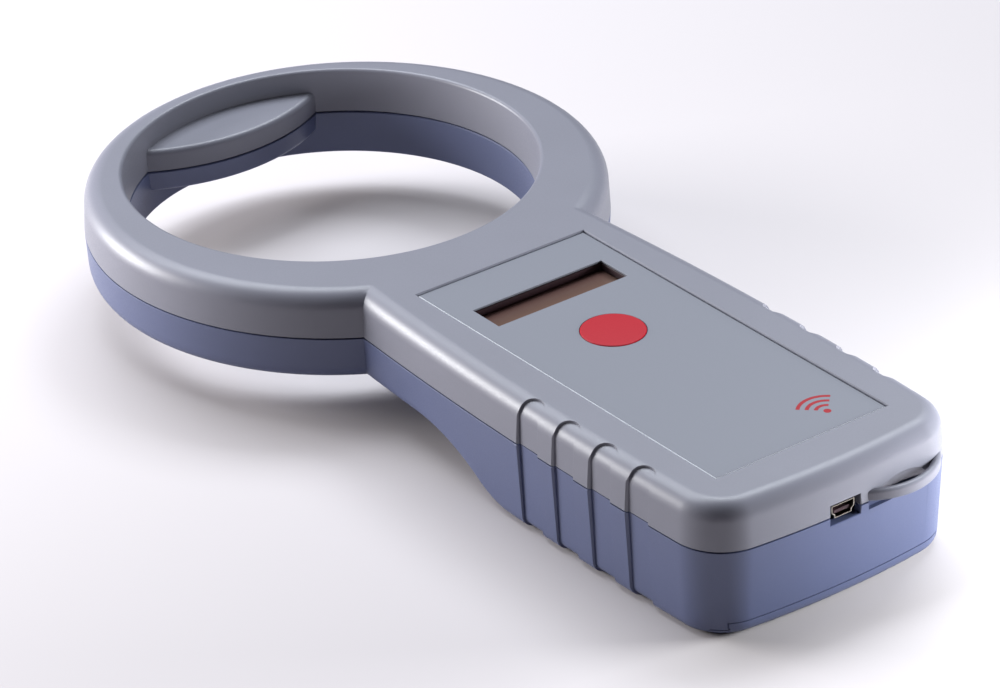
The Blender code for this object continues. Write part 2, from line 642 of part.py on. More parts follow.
ring_top_hollow = guide("ring_top_hollow", ring_body(
    upper_profile(WALL, UPPER_LOW - PAST, PLATE_UNDER_Z, INNER_TOP_ROUND, 2),
    [(hole_radius(z) + WALL, z) for z in (PLATE_UNDER_Z, UPPER_LOW - PAST)]))
ring_base_hollow = guide("ring_base_hollow", ring_body(
    lower_profile(WALL, LOWER_HIGH + PAST, RING_BOTTOM_Z + WALL, INNER_LOW_ROUND, 1),
    [(hole_radius(z) + WALL, z) for z in (RING_BOTTOM_Z + WALL, LOWER_HIGH + PAST)]))

pod_top = guide("pod_top", pod_body(0.0, UPPER_LOW, POD_TOP_Z))
pod_base = guide("pod_base", pod_body(0.0, LOWER_HIGH, POD_BOTTOM_Z))
pod_top_hollow = guide("pod_top_hollow", pod_body(POD_WALL, UPPER_LOW - PAST, POD_TOP_Z - POD_WALL))
pod_base_hollow = guide("pod_base_hollow", pod_body(POD_WALL, LOWER_HIGH + PAST, POD_BOTTOM_Z + POD_WALL))

# Each flute is what a slab takes from between the outer skin and a core just inside it.
flutes_top = guide("flutes_top", flute_slabs(UPPER_LOW - PAST, THICKNESS + PAST))
combine(flutes_top, 'DIFFERENCE', guide("flute_core_top", upper_handle(
    FLUTE_DEPTH, UPPER_LOW - 2 * PAST, THICKNESS - FLUTE_DEPTH, TOP_ROUND - FLUTE_DEPTH, 5, HANDLE_FRONT_Y)))
flutes_base = guide("flutes_base", flute_slabs(-PAST, LOWER_HIGH + PAST))
combine(flutes_base, 'DIFFERENCE', guide("flute_core_base", lower_handle(
    FLUTE_DEPTH, LOWER_HIGH + 2 * PAST, lambda y: FLUTE_DEPTH, LOW_ROUND - FLUTE_DEPTH, 4, HANDLE_FRONT_Y)))

port_half_x = SOCKET_SIZE[0] / 2 + PORT_MARGIN[0]
port_half_z = SOCKET_SIZE[2] / 2 + PORT_MARGIN[1]
port = guide("port_cutter", box((-port_half_x, -HANDLE_END - PAST, SOCKET_Z - port_half_z),
                                (port_half_x, BOARD_END_Y, SOCKET_Z + port_half_z)))

# Case screws: every post is met by one in the other shell, with the screw up through both.
case_places = {
    "front_left": (-FRONT_POST[0], -(HOLE_RADIUS + FRONT_POST[1])),
    "front_right": (FRONT_POST[0], -(HOLE_RADIUS + FRONT_POST[1])),
    "rear_left": (-REAR_POST_X, REAR_POST_Y),
    "rear_right": (REAR_POST_X, REAR_POST_Y),
}
case_spots = list(case_places.values())
pod_spot = [(0.0, POD_POST_Y)]
CASE_HOLE = CASE_SCREW[2] + GAP
CASE_BORE = CASE_SCREW[0] + GAP
board_spots = [(side * BOARD_POST_X, y) for side in (-1.0, 1.0) for y in BOARD_POST_YS]


# ---- Upper shell ------------------------------------------------------------------------------
def make_top_shell():
    shell = place("top_shell", ring_body(
        upper_profile(0.0, UPPER_LOW, THICKNESS, TOP_ROUND, 5),
        [(HOLE_RADIUS + HOLE_EDGE, THICKNESS), (hole_radius(THICKNESS - HOLE_EDGE), THICKNESS - HOLE_EDGE),
         (hole_radius(UPPER_LOW), UPPER_LOW)]), GREY_ABS, smooth_angle=35)
    combine(shell, 'UNION', handle_top, pod_top)
    combine(shell, 'DIFFERENCE', ring_top_hollow, handle_top_hollow, pod_top_hollow, flutes_top)
    post_top = PLATE_UNDER_Z + POST_SINK
    combine(shell, 'UNION',
            guide("case_posts_top", posts(case_spots, POST_RADIUS, UPPER_LOW, post_top)),
            guide("pod_post_top", posts(pod_spot, POST_RADIUS, UPPER_LOW, POD_TOP_Z - POD_WALL + POST_SINK)),
            guide("board_posts", posts(board_spots, BOARD_POST_RADIUS, BOARD_TOP_Z + GAP, post_top)))
    combine(shell, 'DIFFERENCE',
            guide("case_holes_top", posts(case_spots, CASE_HOLE, UPPER_LOW - PAST, CASE_SCREW_TIP_Z + GAP, 12)),
            guide("pod_hole_top", posts(pod_spot, CASE_HOLE, UPPER_LOW - PAST, POD_SCREW_TIP_Z + GAP, 12)),
            guide("board_holes_top", posts(board_spots, BOARD_SCREW[2] + GAP, BOARD_TOP_Z - PAST,
                                           BOARD_SCREW_TIP_Z + GAP, 12)))
    face_end_y = FACE_START_Y - FACE_LENGTH
    opening_x = WINDOW_WIDTH / 2 + FRAME_RIM + GAP
    opening_y = WINDOW_HEIGHT / 2 + FRAME_RIM + GAP
    combine(shell, 'DIFFERENCE',
            guide("face_recess", box(
                (-FACE_WIDTH / 2 - GAP, face_end_y - GAP, THICKNESS - FACE_RECESS),
                (FACE_WIDTH / 2 + GAP, FACE_START_Y + GAP, THICKNESS + PAST))),
            guide("display_opening", box(
                (-opening_x, WINDOW_Y - opening_y, PLATE_UNDER_Z - PAST),
                (opening_x, WINDOW_Y + opening_y, THICKNESS + PAST))),
            guide("button_opening", turned(
                [(BUTTON_RADIUS + GAP, PLATE_UNDER_Z - PAST), (BUTTON_RADIUS + GAP, THICKNESS + PAST)],
                (0.0, BUTTON_Y), 32)),
            port)
    scoop = bmesh.new()
    bmesh.ops.create_uvsphere(scoop, u_segments=24, v_segments=12, radius=1.0)
    face_y = -HANDLE_END + LOOP_CENTRE[0] ** 2 / (2 * CROWN_RADIUS)
    for vert in scoop.verts:
        vert.co = (LOOP_CENTRE[0] + vert.co.x * SCOOP_SIZE[0], face_y + vert.co.y * SCOOP_SIZE[1],
                   PARTING_Z + vert.co.z * SCOOP_SIZE[2])
    combine(shell, 'DIFFERENCE', guide("loop_scoop", scoop))
    combine(shell, 'UNION', guide("lanyard_loop", loop_bar()))


def loop_bar():
    """The moulded bar that a hand cord ties to."""
    steps = 14
    first, last = (math.radians(angle) for angle in LOOP_ANGLES)
    angles = [first + (last - first) * step / steps for step in range(steps + 1)]
    outline = []
    for radius, sweep in ((LOOP_RADIUS, angles), (LOOP_RADIUS - LOOP_THICKNESS, angles[::-1])):
        outline += [(LOOP_CENTRE[0] + radius * math.cos(angle), LOOP_CENTRE[1] + radius * math.sin(angle))
                    for angle in sweep]
    return prism_along_z(outline, UPPER_LOW, UPPER_LOW + LOOP_HEIGHT)


# ---- Lower shell and battery door -------------------------------------------------------------
def door_outline(grow):
    """(y, z) outline of the door's panel and end lip, with clearance added all round."""
    low = -PAST
    outside = -HANDLE_END - PAST
    return [(DOOR_FRONT_Y + grow, low), (DOOR_FRONT_Y + grow, DOOR_THICKNESS + grow),
            (LIP_INNER_Y + grow, DOOR_THICKNESS + grow), (LIP_INNER_Y + grow, TONGUE_TOP_Z + grow),
            (outside, TONGUE_TOP_Z + grow), (outside, low)]


def bay_row(z, steps=4):
    """Outline of the battery bay's block. Its rear follows the middle of the end wall."""
    front = BAY_FRONT_Y + 2 * BAY_WALL
    row = [(-BAY_OUTER_X, front, z), (BAY_OUTER_X, front, z)]
    for step in range(steps + 1):
        x = BAY_OUTER_X * (1 - 2 * step / steps)
        row.append((x, -HANDLE_END + WALL / 2 + side_inset(z) + x ** 2 / (2 * CROWN_RADIUS), z))
    return row


def make_bottom_shell():
    shell = place("bottom_shell", ring_body(
        lower_profile(0.0, LOWER_HIGH, RING_BOTTOM_Z, RING_LOW_ROUND, 4),
        [(hole_radius(RING_BOTTOM_Z) + HOLE_EDGE, RING_BOTTOM_Z),
         (hole_radius(RING_BOTTOM_Z + HOLE_EDGE), RING_BOTTOM_Z + HOLE_EDGE),
         (hole_radius(LOWER_HIGH), LOWER_HIGH)]), BLUE_ABS, smooth_angle=35)
    combine(shell, 'UNION', handle_base, pod_base)
    combine(shell, 'DIFFERENCE', ring_base_hollow, handle_base_hollow, pod_base_hollow, flutes_base)

    bay_block = bmesh.new()
    add_loft(bay_block, [bay_row(z) for z in (LEDGE_FLOOR - POST_SINK, BAY_ROOF_Z)])
    ribs = bmesh.new()
    rib_inner = SEAM_HOLE_RADIUS + WALL / 2
    rib_outer = COIL_RADIUS + COIL_SECTION[0] / 2
    rib_top = PARTING_Z - COIL_SECTION[1] / 2 - GAP
    for index in range(COIL_RIB_COUNT):
        angle = math.radians(90.0 + 45.0 * (index - COIL_RIB_COUNT // 2))
        along = (math.cos(angle), math.sin(angle))
        across = (-along[1] * COIL_RIB_WIDTH / 2, along[0] * COIL_RIB_WIDTH / 2)
        outline = [(radius * along[0] + side * across[0], radius * along[1] + side * across[1])
                   for radius, side in ((rib_inner, 1), (rib_outer, 1), (rib_outer, -1), (rib_inner, -1))]
        add_loft(ribs, [[(x, y, z) for x, y in outline] for z in (RING_BOTTOM_Z + WALL / 2, rib_top)])
    rear = BAY_FRONT_Y - PAST
    step = DOOR_FRONT_Y + 2 * GAP
    front = DOOR_FRONT_Y + TONGUE_REACH + GAP
    channel = [(rear, DOOR_THICKNESS / 2), (step, DOOR_THICKNESS / 2), (step, WALL), (front, WALL),
               (front, TONGUE_TOP_Z + GAP), (rear, TONGUE_TOP_Z + GAP)]
    front_spots = [spot for spot in case_spots if spot[1] > HEEL_Y]
    rear_spots = [spot for spot in case_spots if spot[1] <= HEEL_Y]
    combine(shell, 'UNION',
            guide("bay_block", bay_block),
            guide("coil_ribs", ribs),
            guide("front_posts_base", posts(front_spots, POST_RADIUS, RING_BOTTOM_Z + POST_SINK, LOWER_HIGH)),
            guide("rear_posts_base", posts(rear_spots, POST_RADIUS, LEDGE_FLOOR - POST_SINK, LOWER_HIGH)),
            guide("pod_post_base", posts(pod_spot, POST_RADIUS, POD_BOTTOM_Z + POST_SINK, LOWER_HIGH)))
    combine(shell, 'DIFFERENCE',
            guide("case_holes_base", posts(case_spots, CASE_HOLE, CASE_SEAT_Z - PAST, LOWER_HIGH + PAST, 12)),
            guide("case_bores", posts(case_spots, CASE_BORE, -PAST, CASE_SEAT_Z, 16)),
            guide("pod_hole_base", posts(pod_spot, CASE_HOLE, POD_SEAT_Z - PAST, LOWER_HIGH + PAST, 12)),
            guide("pod_bore", posts(pod_spot, CASE_BORE, POD_BOTTOM_Z - PAST, POD_SEAT_Z, 16)),
            guide("bay_pocket", box((-BAY_HALF_WIDTH, BAY_REAR_Y, -PAST),
                                    (BAY_HALF_WIDTH, BAY_FRONT_Y, BAY_TOP_Z))),
            guide("door_space", prism_along_x(door_outline(GAP), DOOR_HALF_WIDTH + GAP)),
            guide("tongue_channel", prism_along_x(channel, TONGUE_HALF_WIDTH + GAP)),
            port)
    face_y = -HANDLE_END + LOOP_X ** 2 / (2 * CROWN_RADIUS)
    combine(shell, 'DIFFERENCE', guide("cord_relief", box(
        (LOOP_X - RELIEF_SIZE[0], face_y - PAST, LOWER_HIGH - RELIEF_SIZE[2]),
        (LOOP_X + RELIEF_SIZE[0], face_y + RELIEF_SIZE[1], LOWER_HIGH + PAST))))


def make_battery_door():
    """Panel and lip are cut from the handle's own outer form, so they finish it flush."""
    door = place("battery_door", prism_along_x(door_outline(0.0), DOOR_HALF_WIDTH), BLUE_ABS)
    combine(door, 'INTERSECT', handle_base)
    rear = BAY_FRONT_Y - 0.0005
    tongue = [(rear, DOOR_THICKNESS / 2), (DOOR_FRONT_Y - GAP, DOOR_THICKNESS / 2),
              (DOOR_FRONT_Y - GAP, WALL + GAP), (DOOR_FRONT_Y + TONGUE_REACH, WALL + GAP),
              (DOOR_FRONT_Y + TONGUE_REACH, TONGUE_TOP_Z), (rear, TONGUE_TOP_Z)]
    combine(door, 'UNION', guide("door_tongue", prism_along_x(tongue, TONGUE_HALF_WIDTH)))
    ribs = bmesh.new()
    for share in (0.25, 0.75):
        middle = BAY_FRONT_Y + (BAY_REAR_Y - BAY_FRONT_Y) * share
        add_box(ribs, (-RIB_HALF_LENGTH, middle - RIB_WIDTH / 2, DOOR_THICKNESS / 2),
                (RIB_HALF_LENGTH, middle + RIB_WIDTH / 2, TONGUE_TOP_Z))
    combine(door, 'UNION', guide("door_ribs", ribs))


# ---- Face plate, button and switch ------------------------------------------------------------
def make_faceplate():
    end_y = FACE_START_Y - FACE_LENGTH
    plate = place("faceplate", box((-FACE_WIDTH / 2, end_y, FACE_UNDER_Z),
                                   (FACE_WIDTH / 2, FACE_START_Y, FACE_TOP_Z)), FACE_FILM)
    combine(plate, 'DIFFERENCE',
            guide("window_cutter", box(
                (-WINDOW_WIDTH / 2, WINDOW_Y - WINDOW_HEIGHT / 2, FACE_UNDER_Z - PAST),
                (WINDOW_WIDTH / 2, WINDOW_Y + WINDOW_HEIGHT / 2, FACE_TOP_Z + PAST))),
            guide("face_button_hole", turned(
                [(BUTTON_RADIUS + GAP, FACE_UNDER_Z - PAST), (BUTTON_RADIUS + GAP, FACE_TOP_Z + PAST)],
                (0.0, BUTTON_Y), 40)))


def make_scan_button():
    """The cap, its retaining flange and the stem that reaches the switch; its origin is on its axis."""
    flange_radius = BUTTON_RADIUS + BUTTON_FLANGE[0]
    profile = [(BUTTON_STEM_RADIUS, STEM_UNDER_Z), (BUTTON_STEM_RADIUS, FLANGE_UNDER_Z),
               (flange_radius, FLANGE_UNDER_Z), (flange_radius, FLANGE_TOP_Z),
               (BUTTON_RADIUS, FLANGE_TOP_Z), (BUTTON_RADIUS, BUTTON_TOP_Z - BUTTON_CROWN),
               (BUTTON_RADIUS - BUTTON_CROWN, BUTTON_TOP_Z)]
    button = turned(profile, segments=40)
    place("scan_button", button, RED_CAP, location=(0.0, BUTTON_Y, 0.0), smooth_angle=30)
    plunger = turned([(PLUNGER_RADIUS, PLUNGER_UNDER_Z), (PLUNGER_RADIUS, PLUNGER_TOP_Z)], segments=16)
    place("switch_plunger", plunger, BLACK_PLASTIC, location=(0.0, BUTTON_Y, 0.0), smooth_angle=30)


def make_switch_body():
    half = SWITCH_SIZE[0] / 2
    body = place("switch_body", box((-half, BUTTON_Y - half, SWITCH_UNDER_Z),
                                    (half, BUTTON_Y + half, SWITCH_TOP_Z)), BLACK_PLASTIC)
    combine(body, 'DIFFERENCE', guide("plunger_pocket", turned(
        [(PLUNGER_RADIUS + GAP, PLUNGER_POCKET_Z), (PLUNGER_RADIUS + GAP, SWITCH_TOP_Z + PAST)],
        (0.0, BUTTON_Y), 16)))


# ---- Display module ---------------------------------------------------------------------------
def level_slab(name, half_x, half_y, middle_y, low, high, finish):
    """A flat block centred on the scanner's middle plane."""
    return place(name, box((-half_x, middle_y - half_y, low), (half_x, middle_y + half_y, high)), finish)


def make_display():
    window_x, window_y = WINDOW_WIDTH / 2, WINDOW_HEIGHT / 2
    frame = level_slab("display_frame", window_x + FRAME_RIM, window_y + FRAME_RIM, WINDOW_Y,
                       FRAME_UNDER_Z, FRAME_TOP_Z, BLACK_PLASTIC)
    glass_x, glass_y = window_x + GLASS_OVERLAP, window_y + GLASS_OVERLAP
    combine(frame, 'DIFFERENCE',
            guide("display_sight", box((-window_x, WINDOW_Y - window_y, GLASS_TOP_Z - PAST),
                                       (window_x, WINDOW_Y + window_y, FRAME_TOP_Z + PAST))),
            guide("glass_pocket", box(
                (-glass_x - GAP, WINDOW_Y - glass_y - GAP, FRAME_UNDER_Z - PAST),
                (glass_x + GAP, WINDOW_Y + glass_y + GAP, GLASS_TOP_Z + GAP))))
    level_slab("display_glass", glass_x, glass_y, WINDOW_Y, GLASS_UNDER_Z, GLASS_TOP_Z, DISPLAY_GLASS)
    level_slab("display_backlight", glass_x, glass_y, WINDOW_Y, BACKLIGHT_UNDER_Z, BACKLIGHT_TOP_Z,
               WHITE_PLASTIC)
    level_slab("display_board", window_x + FRAME_RIM + BOARD_RIM, DISPLAY_BOARD[0] / 2, WINDOW_Y,
               DISPLAY_BOARD_UNDER_Z, DISPLAY_BOARD_TOP_Z, BOARD_GREEN)
    header_y = WINDOW_Y - DISPLAY_BOARD[0] / 2 + HEADER_SIZE[1]
    level_slab("display_header", HEADER_SIZE[0] / 2, HEADER_SIZE[1] / 2, header_y,
               BOARD_TOP_Z + GAP, DISPLAY_BOARD_UNDER_Z - GAP, BLACK_PLASTIC)


# ---- Main board, socket and components --------------------------------------------------------
def make_main_board():
    board = place("main_board", box((-BOARD_HALF_WIDTH, BOARD_END_Y, BOARD_UNDER_Z),
                                    (BOARD_HALF_WIDTH, BOARD_START_Y, BOARD_TOP_Z)), BOARD_GREEN)
    combine(board, 'DIFFERENCE', guide("board_screw_holes", posts(
        board_spots, BOARD_SCREW[2] + GAP, BOARD_UNDER_Z - PAST, BOARD_TOP_Z + PAST, 12)))
    low = BOARD_TOP_Z + GAP
    for name, (x, reach, length_x, length_y, height) in BLOCKS.items():
        y = BUTTON_Y + reach
        place(name, box((x - length_x / 2, y - length_y / 2, low),
                        (x + length_x / 2, y + length_y / 2, low + height)),
              PLATED_STEEL if name == "clock_crystal" else BLACK_PLASTIC)
    half_x, half_y = CONNECTOR_SIZE[0] / 2, CONNECTOR_SIZE[1] / 2
    place("antenna_connector", box((-half_x, CONNECTOR_Y - half_y, low),
                                   (half_x, CONNECTOR_Y + half_y, low + CONNECTOR_SIZE[2])), WHITE_PLASTIC)
    radius, height = BUZZER_SIZE
    hole, depth = BUZZER_HOLE
    place("buzzer", turned([(radius, low), (radius, low + height), (hole, low + height),
                            (hole, low + height - depth)], (BUZZER_PLACE[0], BUTTON_Y + BUZZER_PLACE[1])),
          BLACK_PLASTIC, smooth_angle=30)
    radius, height = CAPACITOR_SIZE
    edge = radius / 10
    place("supply_capacitor", turned([(radius, low), (radius, low + height - edge),
                                      (radius - edge, low + height)],
                                     (CAPACITOR_PLACE[0], BUTTON_Y + CAPACITOR_PLACE[1]), 16),
          CELL_JACKET, smooth_angle=30)


def make_usb_socket():
    width, depth, height = SOCKET_SIZE
    mouth_y = -HANDLE_END + SOCKET_INSET
    back_y = mouth_y + depth
    socket = place("usb_socket", box((-width / 2, mouth_y, SOCKET_Z - height / 2),
                                     (width / 2, back_y, SOCKET_Z + height / 2)), PLATED_STEEL)
    combine(socket, 'DIFFERENCE', guide("socket_mouth", box(
        (-width / 2 + SOCKET_SHEET, mouth_y - PAST, SOCKET_Z - height / 2 + SOCKET_SHEET),
        (width / 2 - SOCKET_SHEET, back_y - SOCKET_SHEET, SOCKET_Z + height / 2 - SOCKET_SHEET))))
    tongue_low = SOCKET_Z - TONGUE_SIZE[1]
    place("usb_tongue", box((-TONGUE_SIZE[0] / 2, mouth_y + 0.0007, tongue_low),
                            (TONGUE_SIZE[0] / 2, back_y - SOCKET_SHEET - GAP, SOCKET_Z)), WHITE_PLASTIC)


# ---- Antenna ----------------------------------------------------------------------------------
def make_antenna():
    """The wound ring lies round the hole; two leads run from it to the board's connector."""
    half_radial, half_height = COIL_SECTION[0] / 2, COIL_SECTION[1] / 2
    coil = bmesh.new()
    rows = []
    for index in range(RING_SEGMENTS):
        angle = math.tau * (index + 0.5) / RING_SEGMENTS
        rows.append([(radius * math.cos(angle), radius * math.sin(angle), z) for radius, z in (
            (COIL_RADIUS - half_radial, PARTING_Z - half_height),
            (COIL_RADIUS + half_radial, PARTING_Z - half_height),
            (COIL_RADIUS + half_radial, PARTING_Z + half_height),
            (COIL_RADIUS - half_radial, PARTING_Z + half_height))])
    add_loft_closed(coil, rows)
    place("antenna_coil", coil, COPPER_WIRE, smooth_angle=30)

    start_y = -(COIL_RADIUS + half_radial + GAP)
    end_y = CONNECTOR_Y + CONNECTOR_SIZE[1] / 2 + GAP
    end_z = BOARD_TOP_Z + GAP + CONNECTOR_SIZE[2] / 2
    steps = 12
    for side, label in ((-1.0, "left"), (1.0, "right")):
        path = []
        for step in range(steps + 1):
            share = step / steps
            ease = share * share * (3.0 - 2.0 * share)
            path.append((side * LEAD_SPACING * (1.0 - 0.5 * ease), start_y + (end_y - start_y) * share,
                         PARTING_Z + (end_z - PARTING_Z) * ease))
        lead = bmesh.new()
        add_loft(lead, [tube_row(path, index, LEAD_RADIUS, 6) for index in range(len(path))])
        place("antenna_lead_" + label, lead, COPPER_WIRE, smooth_angle=60)


def add_loft_closed(mesh_data, rows):
    """Skin rows of points round a closed path."""
    vert_rows = [[mesh_data.verts.new(point) for point in row] for row in rows]
    count = len(rows[0])
    for index, here in enumerate(vert_rows):
        after = vert_rows[(index + 1) % len(vert_rows)]
        for step in range(count):
            following = (step + 1) % count
            mesh_data.faces.new((here[step], here[following], after[following], after[step]))


def tube_row(path, index, radius, sides):
    """Points round a path, square to its direction there."""
    before = path[max(index - 1, 0)]
    after = path[min(index + 1, len(path) - 1)]
    heading = [after[axis] - before[axis] for axis in range(3)]
    length = math.sqrt(sum(value * value for value in heading))
    ahead = [value / length for value in heading]
    guide_axis = (0.0, 0.0, 1.0) if abs(ahead[2]) < 0.8 else (0.0, 1.0, 0.0)
    sideways = cross(ahead, guide_axis)
    span = math.sqrt(sum(value * value for value in sideways))
    sideways = [value / span for value in sideways]
    upward = cross(sideways, ahead)
    row = []
    for side in range(sides):
        angle = math.tau * side / sides
        row.append(tuple(path[index][axis] + radius * (math.cos(angle) * sideways[axis]
                                                       + math.sin(angle) * upward[axis])
                         for axis in range(3)))
    return row


def cross(first, second):
    """Vector product of two triples."""
    return (first[1] * second[2] - first[2] * second[1],
            first[2] * second[0] - first[0] * second[2],
            first[0] * second[1] - first[1] * second[0])


# ---- Batteries and contacts -------------------------------------------------------------------
def make_batteries():
    """Cells lie along the handle with their ends turned about in turn, to work in series."""
    front_y = BAY_FRONT_Y - GAP - CONTACT_SHEET - GAP
    rear_y = BAY_REAR_Y + GAP + CONTACT_SHEET + GAP
    nub_radius, nub_height = CELL_NUB
    for index in range(CELL_COUNT):
        x = CELL_PITCH * (index - (CELL_COUNT - 1) / 2)
        facing = 1.0 if index % 2 == 0 else -1.0
        plus_y, minus_y = (front_y, rear_y) if facing > 0 else (rear_y, front_y)
        stations = [(nub_radius, 0.0), (nub_radius, nub_height), (CELL_RADIUS - 0.0006, nub_height),
                    (CELL_RADIUS, nub_height + 0.0006), (CELL_RADIUS, CELL_TOTAL - 0.0006),
                    (CELL_RADIUS - 0.0006, CELL_TOTAL)]
        cell = bmesh.new()
        add_loft(cell, [[(x + radius * math.cos(math.tau * side / 20), plus_y - facing * reach,
                          CELL_Z + radius * math.sin(math.tau * side / 20)) for side in range(20)]
                        for radius, reach in stations])
        place("battery_cell_%d" % (index + 1), cell, CELL_JACKET, smooth_angle=30)
        path = []
        steps = 10 * SPRING_TURNS
        for step in range(steps + 1):
            share = step / steps
            radius = SPRING_RADII[0] + (SPRING_RADII[1] - SPRING_RADII[0]) * share
            angle = math.tau * SPRING_TURNS * share
            reach = SPRING_WIRE + (SPRING_LENGTH - GAP - 2 * SPRING_WIRE) * share
            path.append((x + radius * math.cos(angle), minus_y + facing * reach,
                         CELL_Z + radius * math.sin(angle)))
        spring = bmesh.new()
        add_loft(spring, [tube_row(path, step, SPRING_WIRE, 6) for step in range(len(path))])
        place("battery_spring_%d" % (index + 1), spring, PLATED_STEEL, smooth_angle=60)


def make_contacts():
    """Sheet contacts: single ones at the two ends of the string, and pairs that join cells."""
    groups = {"contact_front_1": (0, 0, BAY_FRONT_Y), "contact_front_2": (1, 2, BAY_FRONT_Y),
              "contact_front_3": (3, 3, BAY_FRONT_Y), "contact_rear_1": (0, 1, BAY_REAR_Y),
              "contact_rear_2": (2, 3, BAY_REAR_Y)}
    for name, (first, last, wall_y) in groups.items():
        left = CELL_PITCH * (first - CELL_COUNT / 2) + CONTACT_MARGIN
        right = CELL_PITCH * (last + 1 - CELL_COUNT / 2) - CONTACT_MARGIN
        inward = -1.0 if wall_y == BAY_FRONT_Y else 1.0
        near, far = sorted((wall_y + inward * GAP, wall_y + inward * (GAP + CONTACT_SHEET)))
        place(name, box((left, near, CELL_Z - CONTACT_HEIGHT / 2), (right, far, CELL_Z + CONTACT_HEIGHT / 2)),
              PLATED_STEEL)


# ---- Screws -----------------------------------------------------------------------------------
def make_screw(name, spot, sizes, seat_z, tip_z):
    """A pan-head screw driven upwards."""
    head_radius, head_height, shank_radius = sizes
    under = seat_z - GAP
    point = 0.0012
    profile = [(head_radius * 0.72, under - head_height), (head_radius, under - head_height * 0.6),
               (head_radius, under), (shank_radius, under), (shank_radius, tip_z - point),
               (shank_radius * 0.35, tip_z)]
    place(name, turned(profile, spot, 14), PLATED_STEEL, smooth_angle=30)


def make_screws():
    for label, spot in case_places.items():
        make_screw("case_screw_" + label, spot, CASE_SCREW, CASE_SEAT_Z, CASE_SCREW_TIP_Z)
    make_screw("case_screw_pod", pod_spot[0], CASE_SCREW, POD_SEAT_Z, POD_SCREW_TIP_Z)
    for index, spot in enumerate(board_spots):
        make_screw("board_screw_%d" % (index + 1), spot, BOARD_SCREW, BOARD_UNDER_Z, BOARD_SCREW_TIP_Z)


make_top_shell()
make_bottom_shell()
make_battery_door()
make_faceplate()
make_scan_button()
make_switch_body()
make_display()
make_main_board()
make_usb_socket()
make_antenna()
make_batteries()
make_contacts()
make_screws()
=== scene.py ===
"""Looks of the handheld microchip scanner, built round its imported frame, piece by piece."""
import math
import random

import bmesh
import bpy
from mathutils import Matrix, Vector


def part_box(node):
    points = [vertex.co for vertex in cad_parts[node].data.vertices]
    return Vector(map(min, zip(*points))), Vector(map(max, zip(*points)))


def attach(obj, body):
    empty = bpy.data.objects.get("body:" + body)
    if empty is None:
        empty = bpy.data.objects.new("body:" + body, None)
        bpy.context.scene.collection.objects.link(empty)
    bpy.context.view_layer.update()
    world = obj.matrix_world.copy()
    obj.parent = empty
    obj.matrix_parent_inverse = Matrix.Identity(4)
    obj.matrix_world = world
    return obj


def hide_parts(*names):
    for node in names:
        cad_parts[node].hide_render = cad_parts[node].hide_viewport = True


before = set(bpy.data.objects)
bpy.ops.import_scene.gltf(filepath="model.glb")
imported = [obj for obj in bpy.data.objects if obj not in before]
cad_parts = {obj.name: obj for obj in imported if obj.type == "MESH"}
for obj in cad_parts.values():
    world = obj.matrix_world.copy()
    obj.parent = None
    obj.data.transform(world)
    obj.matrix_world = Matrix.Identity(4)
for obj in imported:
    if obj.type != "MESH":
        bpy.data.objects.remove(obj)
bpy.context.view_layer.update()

# ---- Camera ------------------------------------------------------------------------------------
# A long studio lens looks down the handle from the battery end, a little to the left of it.
ring_low, ring_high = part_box("antenna_coil")
aim = Vector((-0.0283, (ring_low[1] + ring_high[1]) / 2 - 0.1170, 0.0395))
azimuth, elevation, roll = math.radians(-36.38), math.radians(29.07), math.radians(-1.92)
toward = Vector((math.sin(azimuth) * math.cos(elevation), -math.cos(azimuth) * math.cos(elevation),
                 math.sin(elevation)))
level = Vector((math.cos(azimuth), math.sin(azimuth), 0.0))
upright = toward.cross(level)
across_view = level * math.cos(roll) + upright * math.sin(roll)
up_view = upright * math.cos(roll) - level * math.sin(roll)
lens = bpy.data.cameras.new("studio_lens")
lens.lens = 180.5
lens.sensor_width = 36.0
lens.clip_start = 0.05
lens.clip_end = 20.0
camera = bpy.data.objects.new("studio_camera", lens)
camera.matrix_world = Matrix((across_view, up_view, toward)).transposed().to_4x4()
camera.location = aim + toward * 1.339
bpy.context.scene.collection.objects.link(camera)
bpy.context.scene.camera = camera

# ---- Lower shell -------------------------------------------------------------------------------
# The slate blue half that holds the batteries. It is injection moulded in ABS with a fine spark
# texture, its sides lean in by the draft, and its rim meets the upper shell on a flat plane.
MM = 0.001
# Lengths along the handle are measured from the ring's centre, and the battery end is at -END.
coil_low, coil_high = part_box("antenna_coil")
RING_Y = (coil_low[1] + coil_high[1]) / 2
PARTING = (coil_low[2] + coil_high[2]) / 2
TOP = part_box("top_shell")[1][2]
SEAM = 0.15 * MM
RING_DEPTH = 13.4 * MM
RING_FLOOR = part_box("bottom_shell")[1][2] + SEAM - RING_DEPTH
WALL = 2.4 * MM
DRAFT = math.tan(math.radians(3.0))
HOLE = 60 * MM
UPPER_TAPER = math.tan(math.radians(5.0))
LOWER_TAPER = math.tan(math.radians(1.0))
# The ring's outer circle is set towards the handle, so the ring is narrowest at its far side.
RING_OUT = 75.4 * MM
RING_SHIFT = 7.2 * MM
END = 225.5 * MM
CORNER = 15 * MM
CROWN = 270 * MM
HEEL = -137 * MM
HEEL_ARC = 24 * MM
HOLLOW_ARC = 56 * MM
TURN = math.acos(1.0 - RING_FLOOR / (HEEL_ARC + HOLLOW_ARC))
# The handle's half width at three places along it.
WIDTHS = ((-70 * MM, 40.5 * MM), (-160 * MM, 43.8 * MM), (-212 * MM, 42.6 * MM))
# The small bevel at each shell's rim, which draws the seam as a groove.
LIP = 0.28 * MM
# How far a cutter runs past what it cuts.
PAST = 2 * MM


def half_width(y):
    """Half the handle's width at the parting plane, a parabola through three places."""
    total = 0.0
    for own in WIDTHS:
        share = own[1]
        for other in WIDTHS:
            if other is not own:
                share *= (y - other[0]) / (own[0] - other[0])
        total += share
    return total


